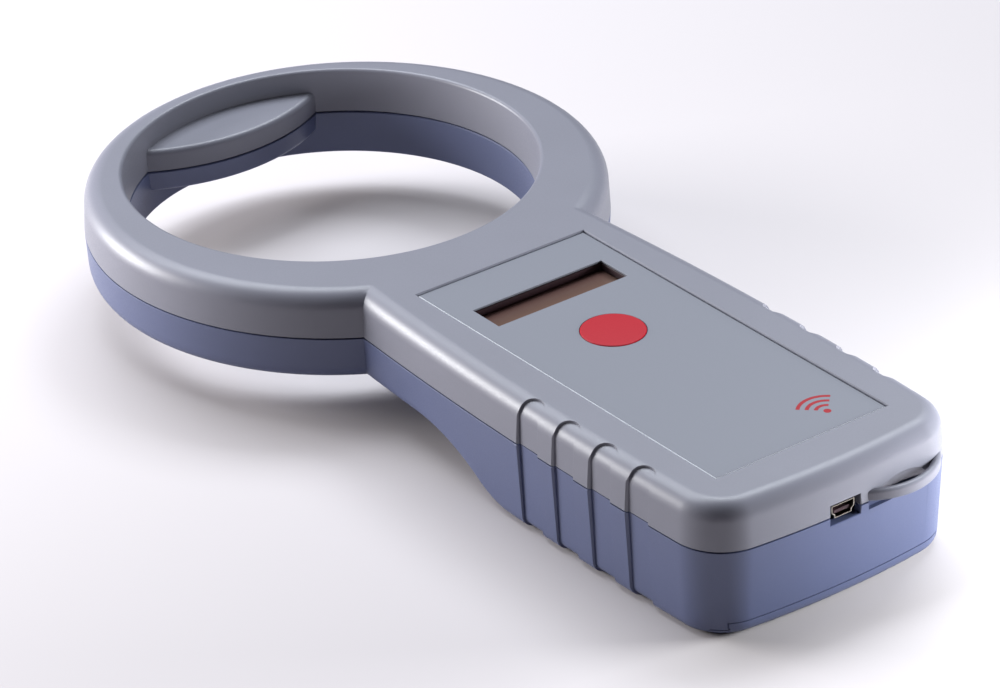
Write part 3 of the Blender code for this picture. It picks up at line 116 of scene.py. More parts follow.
def underside(y):
    """Height of the underside: the flat base, the heel, the hollow neck, then the ring."""
    from_heel = y - HEEL
    heel_run, hollow_run = HEEL_ARC * math.sin(TURN), HOLLOW_ARC * math.sin(TURN)
    if from_heel <= 0.0:
        return 0.0
    if from_heel <= heel_run:
        return HEEL_ARC - math.sqrt(HEEL_ARC ** 2 - from_heel ** 2)
    from_ring = heel_run + hollow_run - from_heel
    if from_ring <= 0.0:
        return RING_FLOOR
    return RING_FLOOR - HOLLOW_ARC + math.sqrt(HOLLOW_ARC ** 2 - from_ring ** 2)


def lean(z):
    """How far the draft has drawn a side in at this height."""
    return abs(z - PARTING) * DRAFT


def hole_radius(z):
    """The hole narrows downwards, most of it in the upper shell."""
    if z > PARTING:
        return HOLE - (TOP - z) * UPPER_TAPER
    return HOLE - (TOP - PARTING) * UPPER_TAPER - (PARTING - z) * LOWER_TAPER


def rim_profile(offset, rim, end, round_off, steps, lip):
    """(inset, z) pairs from a shell's rim to its face: lip, drafted side, rounded edge."""
    way = 1.0 if end > rim else -1.0
    spring = end - way * round_off
    pairs = [(offset + lean(rim) + lip, rim)]
    if lip:
        pairs.append((offset + lean(rim) + 0.3 * lip, rim + way * 0.3 * lip))
        pairs.append((offset + lean(rim), rim + way * lip))
    start = offset + lean(spring)
    for step in range(steps + 1):
        angle = math.pi / 2 * step / steps
        pairs.append((start + round_off * (1 - math.cos(angle)), spring + way * round_off * math.sin(angle)))
    return pairs


def outline_stations(front, pitch=1.6 * MM):
    """(x, y, normal) round the handle from the front of its right side, and the stations a side has."""
    corner_y = -END + CORNER
    crown_y = CROWN - END
    for _ in range(5):
        corner_x = half_width(corner_y) - CORNER
        corner_y = crown_y - math.sqrt((CROWN - CORNER) ** 2 - corner_x ** 2)
    tilt = math.asin(corner_x / (CROWN - CORNER))
    count = math.ceil((front - corner_y) / pitch)
    half = []
    for step in range(count + 1):
        y = front + (corner_y - front) * step / count
        half.append((half_width(y), y, 1.0, 0.0))
    side = len(half)
    for step in range(1, 21):
        angle = -(math.pi / 2 - tilt) * step / 20
        half.append((corner_x + CORNER * math.cos(angle), corner_y + CORNER * math.sin(angle),
                     math.cos(angle), math.sin(angle)))
    for step in range(11, -1, -1):
        angle = tilt * step / 12
        half.append((CROWN * math.sin(angle), crown_y - CROWN * math.cos(angle),
                     math.sin(angle), -math.cos(angle)))
    return half + [(-x, y, -nx, ny) for x, y, nx, ny in half[-2::-1]], side


def handle_form(front, profile_at, ribbed):
    """A closed solid in the handle's outline, with a profile for each place along it."""
    stations, side = outline_stations(front)
    columns = [profile_at(y) for _, y, _, _ in stations]
    form = bmesh.new()
    rows = []
    for index in range(len(columns[0])):
        rows.append([form.verts.new((x - nx * column[index][0], y - ny * column[index][0] + RING_Y,
                                     column[index][1]))
                     for (x, y, nx, ny), column in zip(stations, columns)])
    count = len(stations)
    for low, high in zip(rows, rows[1:]):
        for index in range(count):
            after = (index + 1) % count
            form.faces.new((low[index], low[after], high[after], high[index]))
    form.faces.new(rows[0])
    last = rows[-1]
    if ribbed:
        for index in range(side - 1):
            form.faces.new((last[index], last[index + 1], last[count - 2 - index], last[count - 1 - index]))
        form.faces.new(last[side - 1:count - side + 1])
    else:
        form.faces.new(last)
    return form


def ring_form(outer, inner, segments=240):
    """A closed ring from its outer (inset, z) pairs and its inner (radius, z) pairs."""
    form = bmesh.new()
    columns = []
    for index in range(segments):
        angle = math.tau * (index + 0.5) / segments
        across, along = math.cos(angle), math.sin(angle)
        column = []
        for inset, z in outer:
            radius = RING_OUT - inset
            column.append(form.verts.new((radius * across, radius * along - RING_SHIFT + RING_Y, z)))
        column += [form.verts.new((radius * across, radius * along + RING_Y, z)) for radius, z in inner]
        columns.append(column)
    for index in range(segments):
        here, after = columns[index], columns[(index + 1) % segments]
        for step in range(len(here)):
            following = (step + 1) % len(here)
            form.faces.new((here[step], after[step], after[following], here[following]))
    return form


def hole_profile(rim, end):
    """(radius, z) pairs down the hole's wall, from the face's rounded edge to the lip at the rim."""
    way = 1.0 if end > rim else -1.0
    edge = 1.0 * MM
    pairs = []
    for step in range(7):
        angle = math.pi / 2 * step / 6
        z = end - way * edge * (1 - math.cos(angle))
        pairs.append((hole_radius(z) + edge * (1 - math.sin(angle)), z))
    return pairs + [(hole_radius(rim), rim + way * LIP), (hole_radius(rim) + LIP, rim)]


def pod_form(rim, end, inner=False):
    """Half of the lens-shaped pod on the ring's far inner wall, or its hollow."""
    way = 1.0 if end > rim else -1.0
    face = (57.8 - (2.0 if inner else 0.0)) * MM
    back = 58.0 * MM if inner else hole_radius(PARTING) + WALL / 2
    edge = 0.0 if inner else 1.6 * MM
    centre = 100.0 * MM
    levels = [(lean(rim) + (0.0 if inner else LIP), rim)]
    if not inner:
        levels.append((lean(rim), rim + way * LIP))
    for step in range(1 if inner else 7):
        angle = math.pi / 2 * step / 6
        levels.append((lean(end) + edge * (1 - math.cos(angle)), end - way * edge * (1 - math.sin(angle))))
    rows = []
    for inset, z in levels:
        radius = face - inset
        meet_y = (back ** 2 - radius ** 2 + centre ** 2) / (2 * centre)
        meet_x = math.sqrt(back ** 2 - meet_y ** 2)
        front_angle, back_angle = math.atan2(meet_x, centre - meet_y), math.atan2(meet_x, meet_y)
        row = []
        for step in range(41):
            angle = front_angle * (2 * step / 41 - 1)
            row.append((radius * math.sin(angle), centre - radius * math.cos(angle) + RING_Y, z))
        for step in range(21):
            angle = back_angle * (1 - 2 * step / 21)
            row.append((back * math.sin(angle), back * math.cos(angle) + RING_Y, z))
        rows.append(row)
    return loft(rows)


def loft(rows):
    """A closed solid through rows of points of one length, with flat ends."""
    form = bmesh.new()
    rings = [[form.verts.new(point) for point in row] for row in rows]
    for low, high in zip(rings, rings[1:]):
        for index in range(len(low)):
            after = (index + 1) % len(low)
            form.faces.new((low[index], low[after], high[after], high[index]))
    form.faces.new(rings[0][::-1])
    form.faces.new(rings[-1])
    return form


def block(low, high, flare=0.0, flare_height=0.0):
    """A rectangular solid, its y from the ring's centre; flare opens its top edge outwards at 45 degrees."""
    levels = [(0.0, low[2]), (0.0, high[2])]
    if flare:
        levels = [(0.0, low[2]), (0.0, flare_height - flare), (high[2] - flare_height + flare, high[2])]
    rows = []
    for grow, z in levels:
        left, right = low[0] - grow, high[0] + grow
        rear, front = low[1] - grow + RING_Y, high[1] + grow + RING_Y
        rows.append([(left, rear, z), (right, rear, z), (right, front, z), (left, front, z)])
    return loft(rows)


def turned(profile, centre=(0.0, 0.0), segments=48):
    """A solid turned about an upright axis from (radius, z) pairs, lowest first."""
    return loft([[(centre[0] + radius * math.cos(math.tau * step / segments),
                   centre[1] + radius * math.sin(math.tau * step / segments) + RING_Y, z)
                  for step in range(segments)] for radius, z in profile])


def join_forms(*forms):
    """Several separate solids as one."""
    whole = bmesh.new()
    for form in forms:
        part = bpy.data.meshes.new("part")
        bmesh.ops.recalc_face_normals(form, faces=form.faces)
        form.to_mesh(part)
        form.free()
        whole.from_mesh(part)
        bpy.data.meshes.remove(part)
    return whole


def as_object(name, form):
    """A form as an object in the scene, with its faces outwards."""
    bmesh.ops.recalc_face_normals(form, faces=form.faces)
    mesh = bpy.data.meshes.new(name)
    form.to_mesh(mesh)
    form.free()
    thing = bpy.data.objects.new(name, mesh)
    bpy.context.scene.collection.objects.link(thing)
    return thing


def settle(thing):
    """Make an object's modifiers part of its mesh."""
    graph = bpy.context.evaluated_depsgraph_get()
    mesh = bpy.data.meshes.new_from_object(thing.evaluated_get(graph), preserve_all_data_layers=True,
                                           depsgraph=graph)
    thing.modifiers.clear()
    old, thing.data = thing.data, mesh
    mesh.name = thing.name
    bpy.data.meshes.remove(old)


def shape(name, form, *steps):
    """A solid after Boolean steps, each an operation and the form it works with."""
    thing = as_object(name, form)
    tools = []
    for operation, other in steps:
        tool = as_object("tool", other)
        modifier = thing.modifiers.new("step", 'BOOLEAN')
        modifier.operation = operation
        modifier.solver = 'EXACT'
        modifier.object = tool
        tools.append(tool)
    if tools:
        settle(thing)
        for tool in tools:
            bpy.data.objects.remove(tool)
    return thing


def smooth(thing, angle=30):
    """Smooth shading that stays flat on flat faces and crisp on edges."""
    thing.data.shade_smooth()
    thing.data.set_sharp_from_angle(angle=math.radians(angle))
    weighted = thing.modifiers.new("flat_faces", 'WEIGHTED_NORMAL')
    weighted.keep_sharp = True
    weighted.weight = 80
    settle(thing)


def srgb(code):
    """Linear colour from a hex code."""
    channels = [int(code[index:index + 2], 16) / 255 for index in (1, 3, 5)]
    return [value / 12.92 if value <= 0.04045 else ((value + 0.055) / 1.055) ** 2.4
            for value in channels] + [1.0]


def add(tree, kind, settings=None, links=None):
    """Add a node. Settings are its properties or socket values; links feed its sockets."""
    node = tree.nodes.new(kind)
    for key, value in (settings or {}).items():
        if isinstance(key, str) and hasattr(node, key):
            setattr(node, key, value)
        else:
            node.inputs[key].default_value = value
    for key, source in (links or {}).items():
        tree.links.new(source, node.inputs[key])
    return node


def new_finish(name, shader_settings):
    """A Principled finish, its tree, its shader and the piece's own coordinates."""
    finish = bpy.data.materials.new(name)
    finish.use_nodes = True
    tree = finish.node_tree
    shader = tree.nodes["Principled BSDF"]
    for key, value in shader_settings.items():
        shader.inputs[key].default_value = value
    place = add(tree, "ShaderNodeTexCoord")
    return finish, tree, shader, place.outputs["Object"]


def mottled_finish(name, shader_settings, scale, detail, tones, gloss=None, relief=None):
    """A finish in two close tones mixed by a noise, which can also spread its gloss and stand as relief."""
    finish, tree, shader, place = new_finish(name, shader_settings)
    mottle = add(tree, "ShaderNodeTexNoise", {"Scale": scale, "Detail": detail}, {"Vector": place})
    tint = add(tree, "ShaderNodeMix", {"data_type": 'RGBA', 6: srgb(tones[0]), 7: srgb(tones[1])},
               {0: mottle.outputs[0]})
    tree.links.new(tint.outputs[2], shader.inputs["Base Color"])
    if gloss:
        spread = add(tree, "ShaderNodeMapRange", {"To Min": gloss[0], "To Max": gloss[1]},
                     {"Value": mottle.outputs[0]})
        tree.links.new(spread.outputs[0], shader.inputs["Roughness"])
    if relief:
        bumps = add(tree, "ShaderNodeBump", {"Strength": relief[0], "Distance": relief[1]},
                    {"Height": mottle.outputs[0]})
        tree.links.new(bumps.outputs[0], shader.inputs["Normal"])
    return finish


def moulded_abs(name, body, deep):
    """Moulded ABS. The spark-eroded tool leaves a satin grain, which breaks up each highlight."""
    finish, tree, shader, place = new_finish(name, {"IOR": 1.53, "Specular IOR Level": 0.5})
    # Pigment settles unevenly over some 25 mm as the melt flows.
    flow = add(tree, "ShaderNodeTexNoise", {"Scale": 40.0, "Detail": 2.0}, {"Vector": place})
    share = add(tree, "ShaderNodeMapRange",
                {"From Min": 0.35, "From Max": 0.65, "To Min": 0.0, "To Max": 0.35},
                {"Value": flow.outputs[0]})
    colour = add(tree, "ShaderNodeMix", {"data_type": 'RGBA', 6: srgb(body), 7: srgb(deep)},
                 {0: share.outputs[0]})
    tree.links.new(colour.outputs[2], shader.inputs["Base Color"])
    # The grain is about 0.1 mm on the tool, and is drawn 0.35 mm wide so that it shows.
    grain = add(tree, "ShaderNodeTexNoise", {"Scale": 2600.0, "Detail": 1.0}, {"Vector": place})
    gloss = add(tree, "ShaderNodeMapRange",
                {"From Min": 0.3, "From Max": 0.7, "To Min": 0.37, "To Max": 0.47},
                {"Value": grain.outputs[0]})
    tree.links.new(gloss.outputs[0], shader.inputs["Roughness"])
    relief = add(tree, "ShaderNodeBump", {"Strength": 0.45, "Distance": 0.012 * MM},
                 {"Height": grain.outputs[0]})
    tree.links.new(relief.outputs[0], shader.inputs["Normal"])
    return finish


FLUTES = 4
FLUTE_RADIUS = 4.1 * MM
FLUTE_REACH = 5.3 * MM
FLUTE_DEPTH = 0.7 * MM
FIRST_FLUTE = 31.8 * MM
FLUTE_PITCH = 15.2 * MM


def flute_slabs(low, high):
    """Upright slabs for the grip flutes: a round inner end, and eased edges that follow the draft."""
    slabs = []
    radius = FLUTE_RADIUS
    for side in (-1.0, 1.0):
        for index in range(FLUTES):
            y = -END + FIRST_FLUTE + FLUTE_PITCH * index
            width = half_width(y)
            rows = []
            for z in (low, high):
                skin = width - lean(z)
                edge = [(skin + 3.0 * MM, radius + 3.4 * MM), (skin + 0.10 * MM, radius + 0.48 * MM),
                        (skin - 0.10 * MM, radius + 0.20 * MM), (skin - 0.38 * MM, radius)]
                centre_x = min(width - FLUTE_REACH + radius, skin - 0.5 * MM)
                outline = edge + [(centre_x, radius)] + [
                    (centre_x + radius * math.cos(angle), radius * math.sin(angle))
                    for angle in (math.pi / 2 + math.pi * step / 16 for step in range(1, 16))]
                outline += [(centre_x, -radius)] + [(px, -py) for px, py in reversed(edge)]
                rows.append([(side * px, y + py + RING_Y, z) for px, py in outline])
            slabs.append(loft(rows))
    return join_forms(*slabs)


def along_x(outline, half_length):
    """A (y, z) outline extruded to both sides of the middle."""
    return loft([[(x, y + RING_Y, z) for y, z in outline] for x in (-half_length, half_length)])


def copy_form(thing):
    """An object's mesh as a form of its own."""
    form = bmesh.new()
    form.from_mesh(thing.data)
    return form


def posts(spots, radius, low, high):
    """Round posts, or the bores in them, at several places."""
    return join_forms(*[turned([(radius, low), (radius, high)], spot, 28) for spot in spots])


RIM = PARTING - SEAM
FRONT = -62 * MM
HOLLOW_FRONT = -63.5 * MM
BAY_X = 30.4 * MM
BAY_FRONT = -161.5 * MM
BAY_REAR = -220.5 * MM
BAY_TOP = 19.2 * MM
DOOR_X = 38.3 * MM
DOOR_FRONT = -157.7 * MM
DOOR_GAP = 0.3 * MM
NECK_SPOTS = ((-31.0 * MM, -82.0 * MM), (31.0 * MM, -82.0 * MM))
END_SPOTS = ((-35.2 * MM, -212.0 * MM), (35.2 * MM, -212.0 * MM))
POD_SPOT = (0.0, 51.0 * MM)
POD_HALF = 6.6 * MM
POD_LOW = PARTING - POD_HALF
POST = 3.9 * MM
SHANK_HOLE = 1.75 * MM
HEAD_WELL = 2.8 * MM
HANDLE_EDGE = 3.5 * MM
RING_EDGE = 4.5 * MM
INNER_EDGE = 1.2 * MM


def lower_outside():
    """The lower shell's handle, solid."""
    return handle_form(FRONT, lambda y: rim_profile(0.0, RIM, underside(y), HANDLE_EDGE, 9, LIP),
                       ribbed=True)


def door_outline(grow):
    """The door's (y, z) section, grown all round by its gap."""
    return [(DOOR_FRONT + grow, -PAST), (DOOR_FRONT + grow, 2.0 * MM + grow),
            (BAY_REAR - SEAM + grow, 2.0 * MM + grow), (BAY_REAR - SEAM + grow, 4.1 * MM + grow),
            (-END - PAST, 4.1 * MM + grow), (-END - PAST, -PAST)]


def bay_floor(y):
    """Height of the inside floor, raised over the door's end of the handle."""
    return underside(y) + (3.8 * MM if y < DOOR_FRONT + 0.5 * MM else WALL)


flute_core = shape("flute_core", flute_slabs(-PAST, RIM + PAST),
                   ('DIFFERENCE', handle_form(FRONT, lambda y: rim_profile(
                       FLUTE_DEPTH, RIM + 2 * PAST, underside(y) + FLUTE_DEPTH,
                       HANDLE_EDGE - FLUTE_DEPTH, 9, 0.0), ribbed=True)))
# The bay's block stands 1.5 mm outside the bay at its sides and top, 3 mm at its front, and its rear
# follows the end wall.
BAY_BLOCK_X = 31.9 * MM
BAY_BLOCK_LOW = 3.2 * MM
bay_rows = []
for z in (BAY_BLOCK_LOW, BAY_TOP + 1.5 * MM):
    row = [(-BAY_BLOCK_X, BAY_FRONT + 3.0 * MM + RING_Y, z), (BAY_BLOCK_X, BAY_FRONT + 3.0 * MM + RING_Y, z)]
    for step in range(9):
        x = BAY_BLOCK_X * (1 - step / 4)
        row.append((x, -END + WALL / 2 + lean(z) + x ** 2 / (2 * CROWN) + RING_Y, z))
    bay_rows.append(row)
# Seven ribs round the ring carry the coil.
RIB_IN = 60.0 * MM
RIB_OUT = 64.4 * MM
ribs = []
for index in range(7):
    angle = math.radians(-45.0 + 45.0 * index)
    along = Vector((math.cos(angle), math.sin(angle)))
    aside = Vector((-math.sin(angle), math.cos(angle))) * 0.75 * MM
    corners = [along * RIB_IN + aside, along * RIB_OUT + aside,
               along * RIB_OUT - aside, along * RIB_IN - aside]
    ribs.append(loft([[(corner.x, corner.y + RING_Y, z) for corner in corners]
                      for z in (RING_FLOOR + 1.2 * MM, PARTING - 2.8 * MM)]))
# The slot in the bay's front wall that takes the door's tongue.
tongue_way = [(BAY_FRONT - PAST, 1.0 * MM), (DOOR_FRONT + 0.6 * MM, 1.0 * MM), (DOOR_FRONT + 0.6 * MM, WALL),
              (DOOR_FRONT + 4.5 * MM, WALL), (DOOR_FRONT + 4.5 * MM, 4.4 * MM), (BAY_FRONT - PAST, 4.4 * MM)]


def port_form():
    """The socket's opening, 10.1 by 5.9 mm, with a mouth that flares by 0.3 mm at the end face."""
    half_x, half_z, middle_z = 5.05 * MM, 2.95 * MM, 26.65 * MM
    rows = []
    for y, grow in ((-220.1 * MM, 0.0), (-END + 0.32 * MM, 0.0),
                    (-END - 0.05 * MM, 0.37 * MM), (-END - PAST, 2.3 * MM)):
        rows.append([(x * (half_x + grow), y + RING_Y, middle_z + z * (half_z + grow))
                     for x, z in ((-1, -1), (1, -1), (1, 1), (-1, 1))])
    return loft(rows)


# The cord loop's middle, the end face there, and the notch that the loop's gap needs below the seam.
LOOP_X = 19.9 * MM
face_y = -END + LOOP_X ** 2 / (2 * CROWN)
loop_notch = block((LOOP_X - 12 * MM, face_y - PAST, RIM - 2.3 * MM),
                   (LOOP_X + 12 * MM, face_y + 1.0 * MM, RIM + PAST))
lower = shape("lower_shell", ring_form(rim_profile(0.0, RIM, RING_FLOOR, RING_EDGE, 9, LIP),
                                       hole_profile(RIM, RING_FLOOR)),
              ('UNION', lower_outside()),
              ('UNION', pod_form(RIM, POD_LOW)),
              ('DIFFERENCE', ring_form(rim_profile(WALL, RIM + PAST, RING_FLOOR + WALL, INNER_EDGE, 3, 0.0),
                                       [(hole_radius(z) + WALL, z)
                                        for z in (RING_FLOOR + WALL, RIM + PAST)], 120)),
              ('DIFFERENCE', handle_form(HOLLOW_FRONT, lambda y: rim_profile(
                  WALL, RIM + PAST, bay_floor(y), INNER_EDGE, 3, 0.0), ribbed=True)),
              ('DIFFERENCE', pod_form(RIM + PAST, POD_LOW + 2 * MM, inner=True)),
              ('DIFFERENCE', copy_form(flute_core)),
              ('UNION', loft(bay_rows)),
              ('UNION', join_forms(*ribs)),
              ('UNION', posts(NECK_SPOTS, POST, RING_FLOOR + 0.6 * MM, RIM)),
              ('UNION', posts(END_SPOTS, POST, BAY_BLOCK_LOW, RIM)),
              ('UNION', posts([POD_SPOT], POST, POD_LOW + 0.6 * MM, RIM)),
              ('DIFFERENCE', posts(NECK_SPOTS + END_SPOTS, SHANK_HOLE, 14 * MM, RIM + PAST)),
              ('DIFFERENCE', posts(NECK_SPOTS + END_SPOTS, HEAD_WELL, -PAST, 16 * MM)),
              ('DIFFERENCE', posts([POD_SPOT], SHANK_HOLE, POD_LOW + 0.8 * MM, RIM + PAST)),
              ('DIFFERENCE', posts([POD_SPOT], HEAD_WELL, POD_LOW - PAST, POD_LOW + 2.8 * MM)),
              ('DIFFERENCE', block((-BAY_X, BAY_REAR, -PAST), (BAY_X, BAY_FRONT, BAY_TOP))),
              ('DIFFERENCE', along_x(door_outline(DOOR_GAP), DOOR_X + DOOR_GAP)),
              ('DIFFERENCE', along_x(tongue_way, 11.3 * MM)),
              ('DIFFERENCE', port_form()),
              ('DIFFERENCE', loop_notch))
smooth(lower)
blue_abs = moulded_abs("blue_moulded_abs", "#515877", "#4c536f")
lower.data.materials.append(blue_abs)
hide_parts("bottom_shell")
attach(lower, "scanner_case")

# ---- Battery door ------------------------------------------------------------------------------
# A sliding panel with a lip that closes the end, moulded in the lower shell's plastic. Two ribs
# press on the cells, and a tongue in front keeps it shut.
door_tongue = [(BAY_FRONT - 0.5 * MM, 1.0 * MM), (DOOR_FRONT - DOOR_GAP, 1.0 * MM),
               (DOOR_FRONT - DOOR_GAP, 2.7 * MM), (DOOR_FRONT + 4.2 * MM, 2.7 * MM),
               (DOOR_FRONT + 4.2 * MM, 4.1 * MM), (BAY_FRONT - 0.5 * MM, 4.1 * MM)]
door = shape("battery_cover", along_x(door_outline(0.0), DOOR_X),
             ('INTERSECT', lower_outside()),
             ('UNION', along_x(door_tongue, 11 * MM)),
             ('UNION', join_forms(
                 block((-28 * MM, -177.0 * MM, 1.0 * MM), (28 * MM, -175.5 * MM, 4.1 * MM)),
                 block((-28 * MM, -206.5 * MM, 1.0 * MM), (28 * MM, -205.0 * MM, 4.1 * MM)))))
smooth(door)
door.data.materials.append(blue_abs)
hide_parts("battery_door")
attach(door, "battery_door_body")

# ---- Upper shell -------------------------------------------------------------------------------
# The grey half, moulded in the same ABS. It is recessed for the face plate, pierced for the
# display and the button, and carries a rounded bar on its end for a hand cord.
RIM_UP = PARTING + SEAM
TOP_EDGE = 5.5 * MM
CEILING = TOP - 2.8 * MM
upper_core = shape("upper_core", flute_slabs(RIM_UP - PAST, TOP + PAST),
                   ('DIFFERENCE', handle_form(FRONT, lambda y: rim_profile(
                       FLUTE_DEPTH, RIM_UP - 2 * PAST, TOP - FLUTE_DEPTH, TOP_EDGE - FLUTE_DEPTH, 10, 0.0),
                       ribbed=False)))
# A shallow hollow behind the cord loop leaves room for the cord.
scoop = bmesh.new()
bmesh.ops.create_uvsphere(scoop, u_segments=48, v_segments=32, radius=1.0)
for vert in scoop.verts:
    vert.co = (LOOP_X + vert.co.x * 9.5 * MM, face_y + RING_Y + vert.co.y * 1.8 * MM,
               PARTING + vert.co.z * 4.2 * MM)
# The loop is an arc of a bar with rounded corners, 2.3 mm thick and 3.1 mm high.
LOOP_RADIUS = 18.85 * MM
LOOP_CENTRE = -209.6 * MM
section = []
for corner_x, corner_z, start in ((1, 1, 0), (-1, 1, 90), (-1, -1, 180), (1, -1, 270)):
    for step in range(5):
        angle = math.radians(start + 22.5 * step)
        round_off = (0.95 if corner_z > 0 else 0.5) * MM
        section.append((corner_x * (1.15 * MM - round_off) + round_off * math.cos(angle),
                        corner_z * (1.55 * MM - round_off) + round_off * math.sin(angle)))
loop_rows = []
for step in range(49):
    angle = math.radians(228.0 + 100.0 * step / 48)
    loop_rows.append([(LOOP_X + (LOOP_RADIUS + out) * math.cos(angle),
                       LOOP_CENTRE + (LOOP_RADIUS + out) * math.sin(angle) + RING_Y,
                       RIM_UP + 1.56 * MM + rise)
                      for out, rise in section])
BUTTON_SPOT = (0.0, -130 * MM)
BUTTON_HOLE = 9.2 * MM
board_spots = [(x, y) for x in (-28.2 * MM, 28.2 * MM) for y in (-120 * MM, -216 * MM)]
upper = shape("upper_shell", ring_form(rim_profile(0.0, RIM_UP, TOP, TOP_EDGE, 12, LIP),
                                       hole_profile(RIM_UP, TOP)),
              ('UNION', handle_form(FRONT, lambda y: rim_profile(0.0, RIM_UP, TOP, TOP_EDGE, 12, LIP),
                                    ribbed=False)),
              ('UNION', pod_form(RIM_UP, PARTING + POD_HALF)),
              ('DIFFERENCE', ring_form(rim_profile(WALL, RIM_UP - PAST, CEILING, TOP_EDGE - WALL, 4, 0.0),
                                       [(hole_radius(z) + WALL, z)
                                        for z in (CEILING, RIM_UP - PAST)], 120)),
              ('DIFFERENCE', handle_form(HOLLOW_FRONT, lambda y: rim_profile(
                  WALL, RIM_UP - PAST, CEILING, TOP_EDGE - WALL, 4, 0.0), ribbed=False)),
              ('DIFFERENCE', pod_form(RIM_UP - PAST, PARTING + 4.6 * MM, inner=True)),
              ('DIFFERENCE', copy_form(upper_core)),
              ('UNION', posts(NECK_SPOTS + END_SPOTS, POST, RIM_UP, TOP - 2.2 * MM)),
              ('UNION', posts([POD_SPOT], POST, RIM_UP, PARTING + 5.2 * MM)),
              ('UNION', posts(board_spots, 2.8 * MM, 24.7 * MM, TOP - 2.2 * MM)),
              ('DIFFERENCE', posts(NECK_SPOTS + END_SPOTS, SHANK_HOLE, RIM_UP - PAST, 34.3 * MM)),
              ('DIFFERENCE', posts([POD_SPOT], SHANK_HOLE, RIM_UP - PAST, 30.3 * MM)),
              ('DIFFERENCE', posts(board_spots, 1.4 * MM, 22.4 * MM, 31.8 * MM)),
              ('DIFFERENCE', block((-29.0 * MM, -208.5 * MM, TOP - 1.2 * MM),
                                   (29.0 * MM, -80.2 * MM, TOP + PAST), 0.22 * MM, TOP)),
              ('DIFFERENCE', block((-25.0 * MM, -111.3 * MM, TOP - 5 * MM),
                                   (25.0 * MM, -93.9 * MM, TOP + PAST))),
              ('DIFFERENCE', turned([(BUTTON_HOLE, TOP - 5 * MM), (BUTTON_HOLE, TOP + PAST)],
                                    BUTTON_SPOT, 96)),
              ('DIFFERENCE', port_form()),
              ('DIFFERENCE', scoop),
              ('UNION', loft(loop_rows)))
smooth(upper)
grey_abs = moulded_abs("grey_moulded_abs", "#71717c", "#6c6c76")
upper.data.materials.append(grey_abs)
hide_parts("top_shell")
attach(upper, "scanner_case")
for tool in (flute_core, upper_core):
    bpy.data.objects.remove(tool)

# ---- Face plate --------------------------------------------------------------------------------
# A thin polycarbonate plate with a matte printed face, stuck into the recess. The window and the
# button hole are punched through it.
plate_low, plate_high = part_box("faceplate")
plate_z = plate_high[2]
PLATE_X = 28.7 * MM
PLATE_Y = 63.85 * MM
PLATE_MIDDLE = -144.35 * MM
PLATE_EDGE = 0.3 * MM
WINDOW_X = 22.1 * MM
WINDOW_REAR = -108.4 * MM
WINDOW_FRONT = -96.8 * MM
plate = shape("face_plate", block((-PLATE_X, -208.2 * MM, plate_low[2]), (PLATE_X, -80.5 * MM, plate_z)),
              ('DIFFERENCE', block((-WINDOW_X, WINDOW_REAR, plate_low[2] - MM),
                                   (WINDOW_X, WINDOW_FRONT, plate_z + MM), 0.1 * MM, plate_z)),
              ('DIFFERENCE', turned([(BUTTON_HOLE, plate_low[2] - MM), (BUTTON_HOLE, plate_z - 0.08 * MM),
                                     (10.3 * MM, plate_z + MM)], BUTTON_SPOT, 96)))
edge_rows = []
for inset, z in ((0.0, plate_low[2] - MM), (0.0, plate_z - PLATE_EDGE),
                 (PLATE_EDGE, plate_z), (PLATE_EDGE, plate_z + MM)):
    edge_rows.append([(x * (PLATE_X - inset), y * (PLATE_Y - inset) + PLATE_MIDDLE + RING_Y, z)
                      for x, y in ((-1, -1), (1, -1), (1, 1), (-1, 1))])
trim = as_object("trim", loft(edge_rows))
modifier = plate.modifiers.new("edge", 'BOOLEAN')
modifier.operation = 'INTERSECT'
modifier.solver = 'EXACT'
modifier.object = trim
settle(plate)
bpy.data.objects.remove(trim)
smooth(plate)
# The print has a velvet grain of about 0.3 mm, which keeps the plate matte.
plate.data.materials.append(mottled_finish(
    "matte_printed_polycarbonate", {"IOR": 1.58, "Roughness": 0.5, "Specular IOR Level": 0.35},
    3500.0, 1.0, ("#6b6d77", "#70727c"), relief=(0.35, 0.006 * MM)))
# A painted highlight: the plate's bevelled outer edge is coloured near white, so that it shows as a bright
# line where the edge catches the light.
plate.data.materials.append(mottled_finish(
    "painted_highlight_plate_edge", {"IOR": 1.58, "Roughness": 0.3}, 900.0, 2.0, ("#dfe2ea", "#f0f2f7")))
# Painted highlight: the faces of the bevel round the plate's outer edge take the near-white finish.
for face in plate.data.polygons:
    past_x = abs(face.center.x) - (PLATE_X - 0.7 * MM)
    past_y = abs(face.center.y - RING_Y - PLATE_MIDDLE) - (PLATE_Y - 0.65 * MM)
    if 0.5 < face.normal.z < 0.9 and max(past_x, past_y) > 0.0:
        face.material_index = 1
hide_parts("faceplate")
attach(plate, "scanner_case")

# ---- Printed mark ------------------------------------------------------------------------------
# Red screen-printed ink on the plate: a dot and three arcs, the common sign for a radio signal.
DOT_RADIUS = 1.05 * MM
ARC_WIDTH = 1.05
mark_x, mark_y = 15.5 * MM, -200.0 * MM
mark_outlines = [[(DOT_RADIUS * math.cos(math.tau * step / 32), DOT_RADIUS * math.sin(math.tau * step / 32))
                  for step in range(32)]]
sweep = [math.radians(90.0) + math.radians(46.0) * (step / 16 - 1) for step in range(33)]
for radius in (3.0, 5.4, 7.8):
    outer, inner = (radius + ARC_WIDTH / 2) * MM, (radius - ARC_WIDTH / 2) * MM
    mark_outlines.append([(outer * math.cos(angle), outer * math.sin(angle)) for angle in sweep]
                         + [(inner * math.cos(angle), inner * math.sin(angle)) for angle in reversed(sweep)])
signal = as_object("signal_mark", join_forms(*[
    loft([[(mark_x + x, mark_y + y + RING_Y, z) for x, y in points]
          for z in (plate_z - 0.02 * MM, plate_z + 0.012 * MM)]) for points in mark_outlines]))
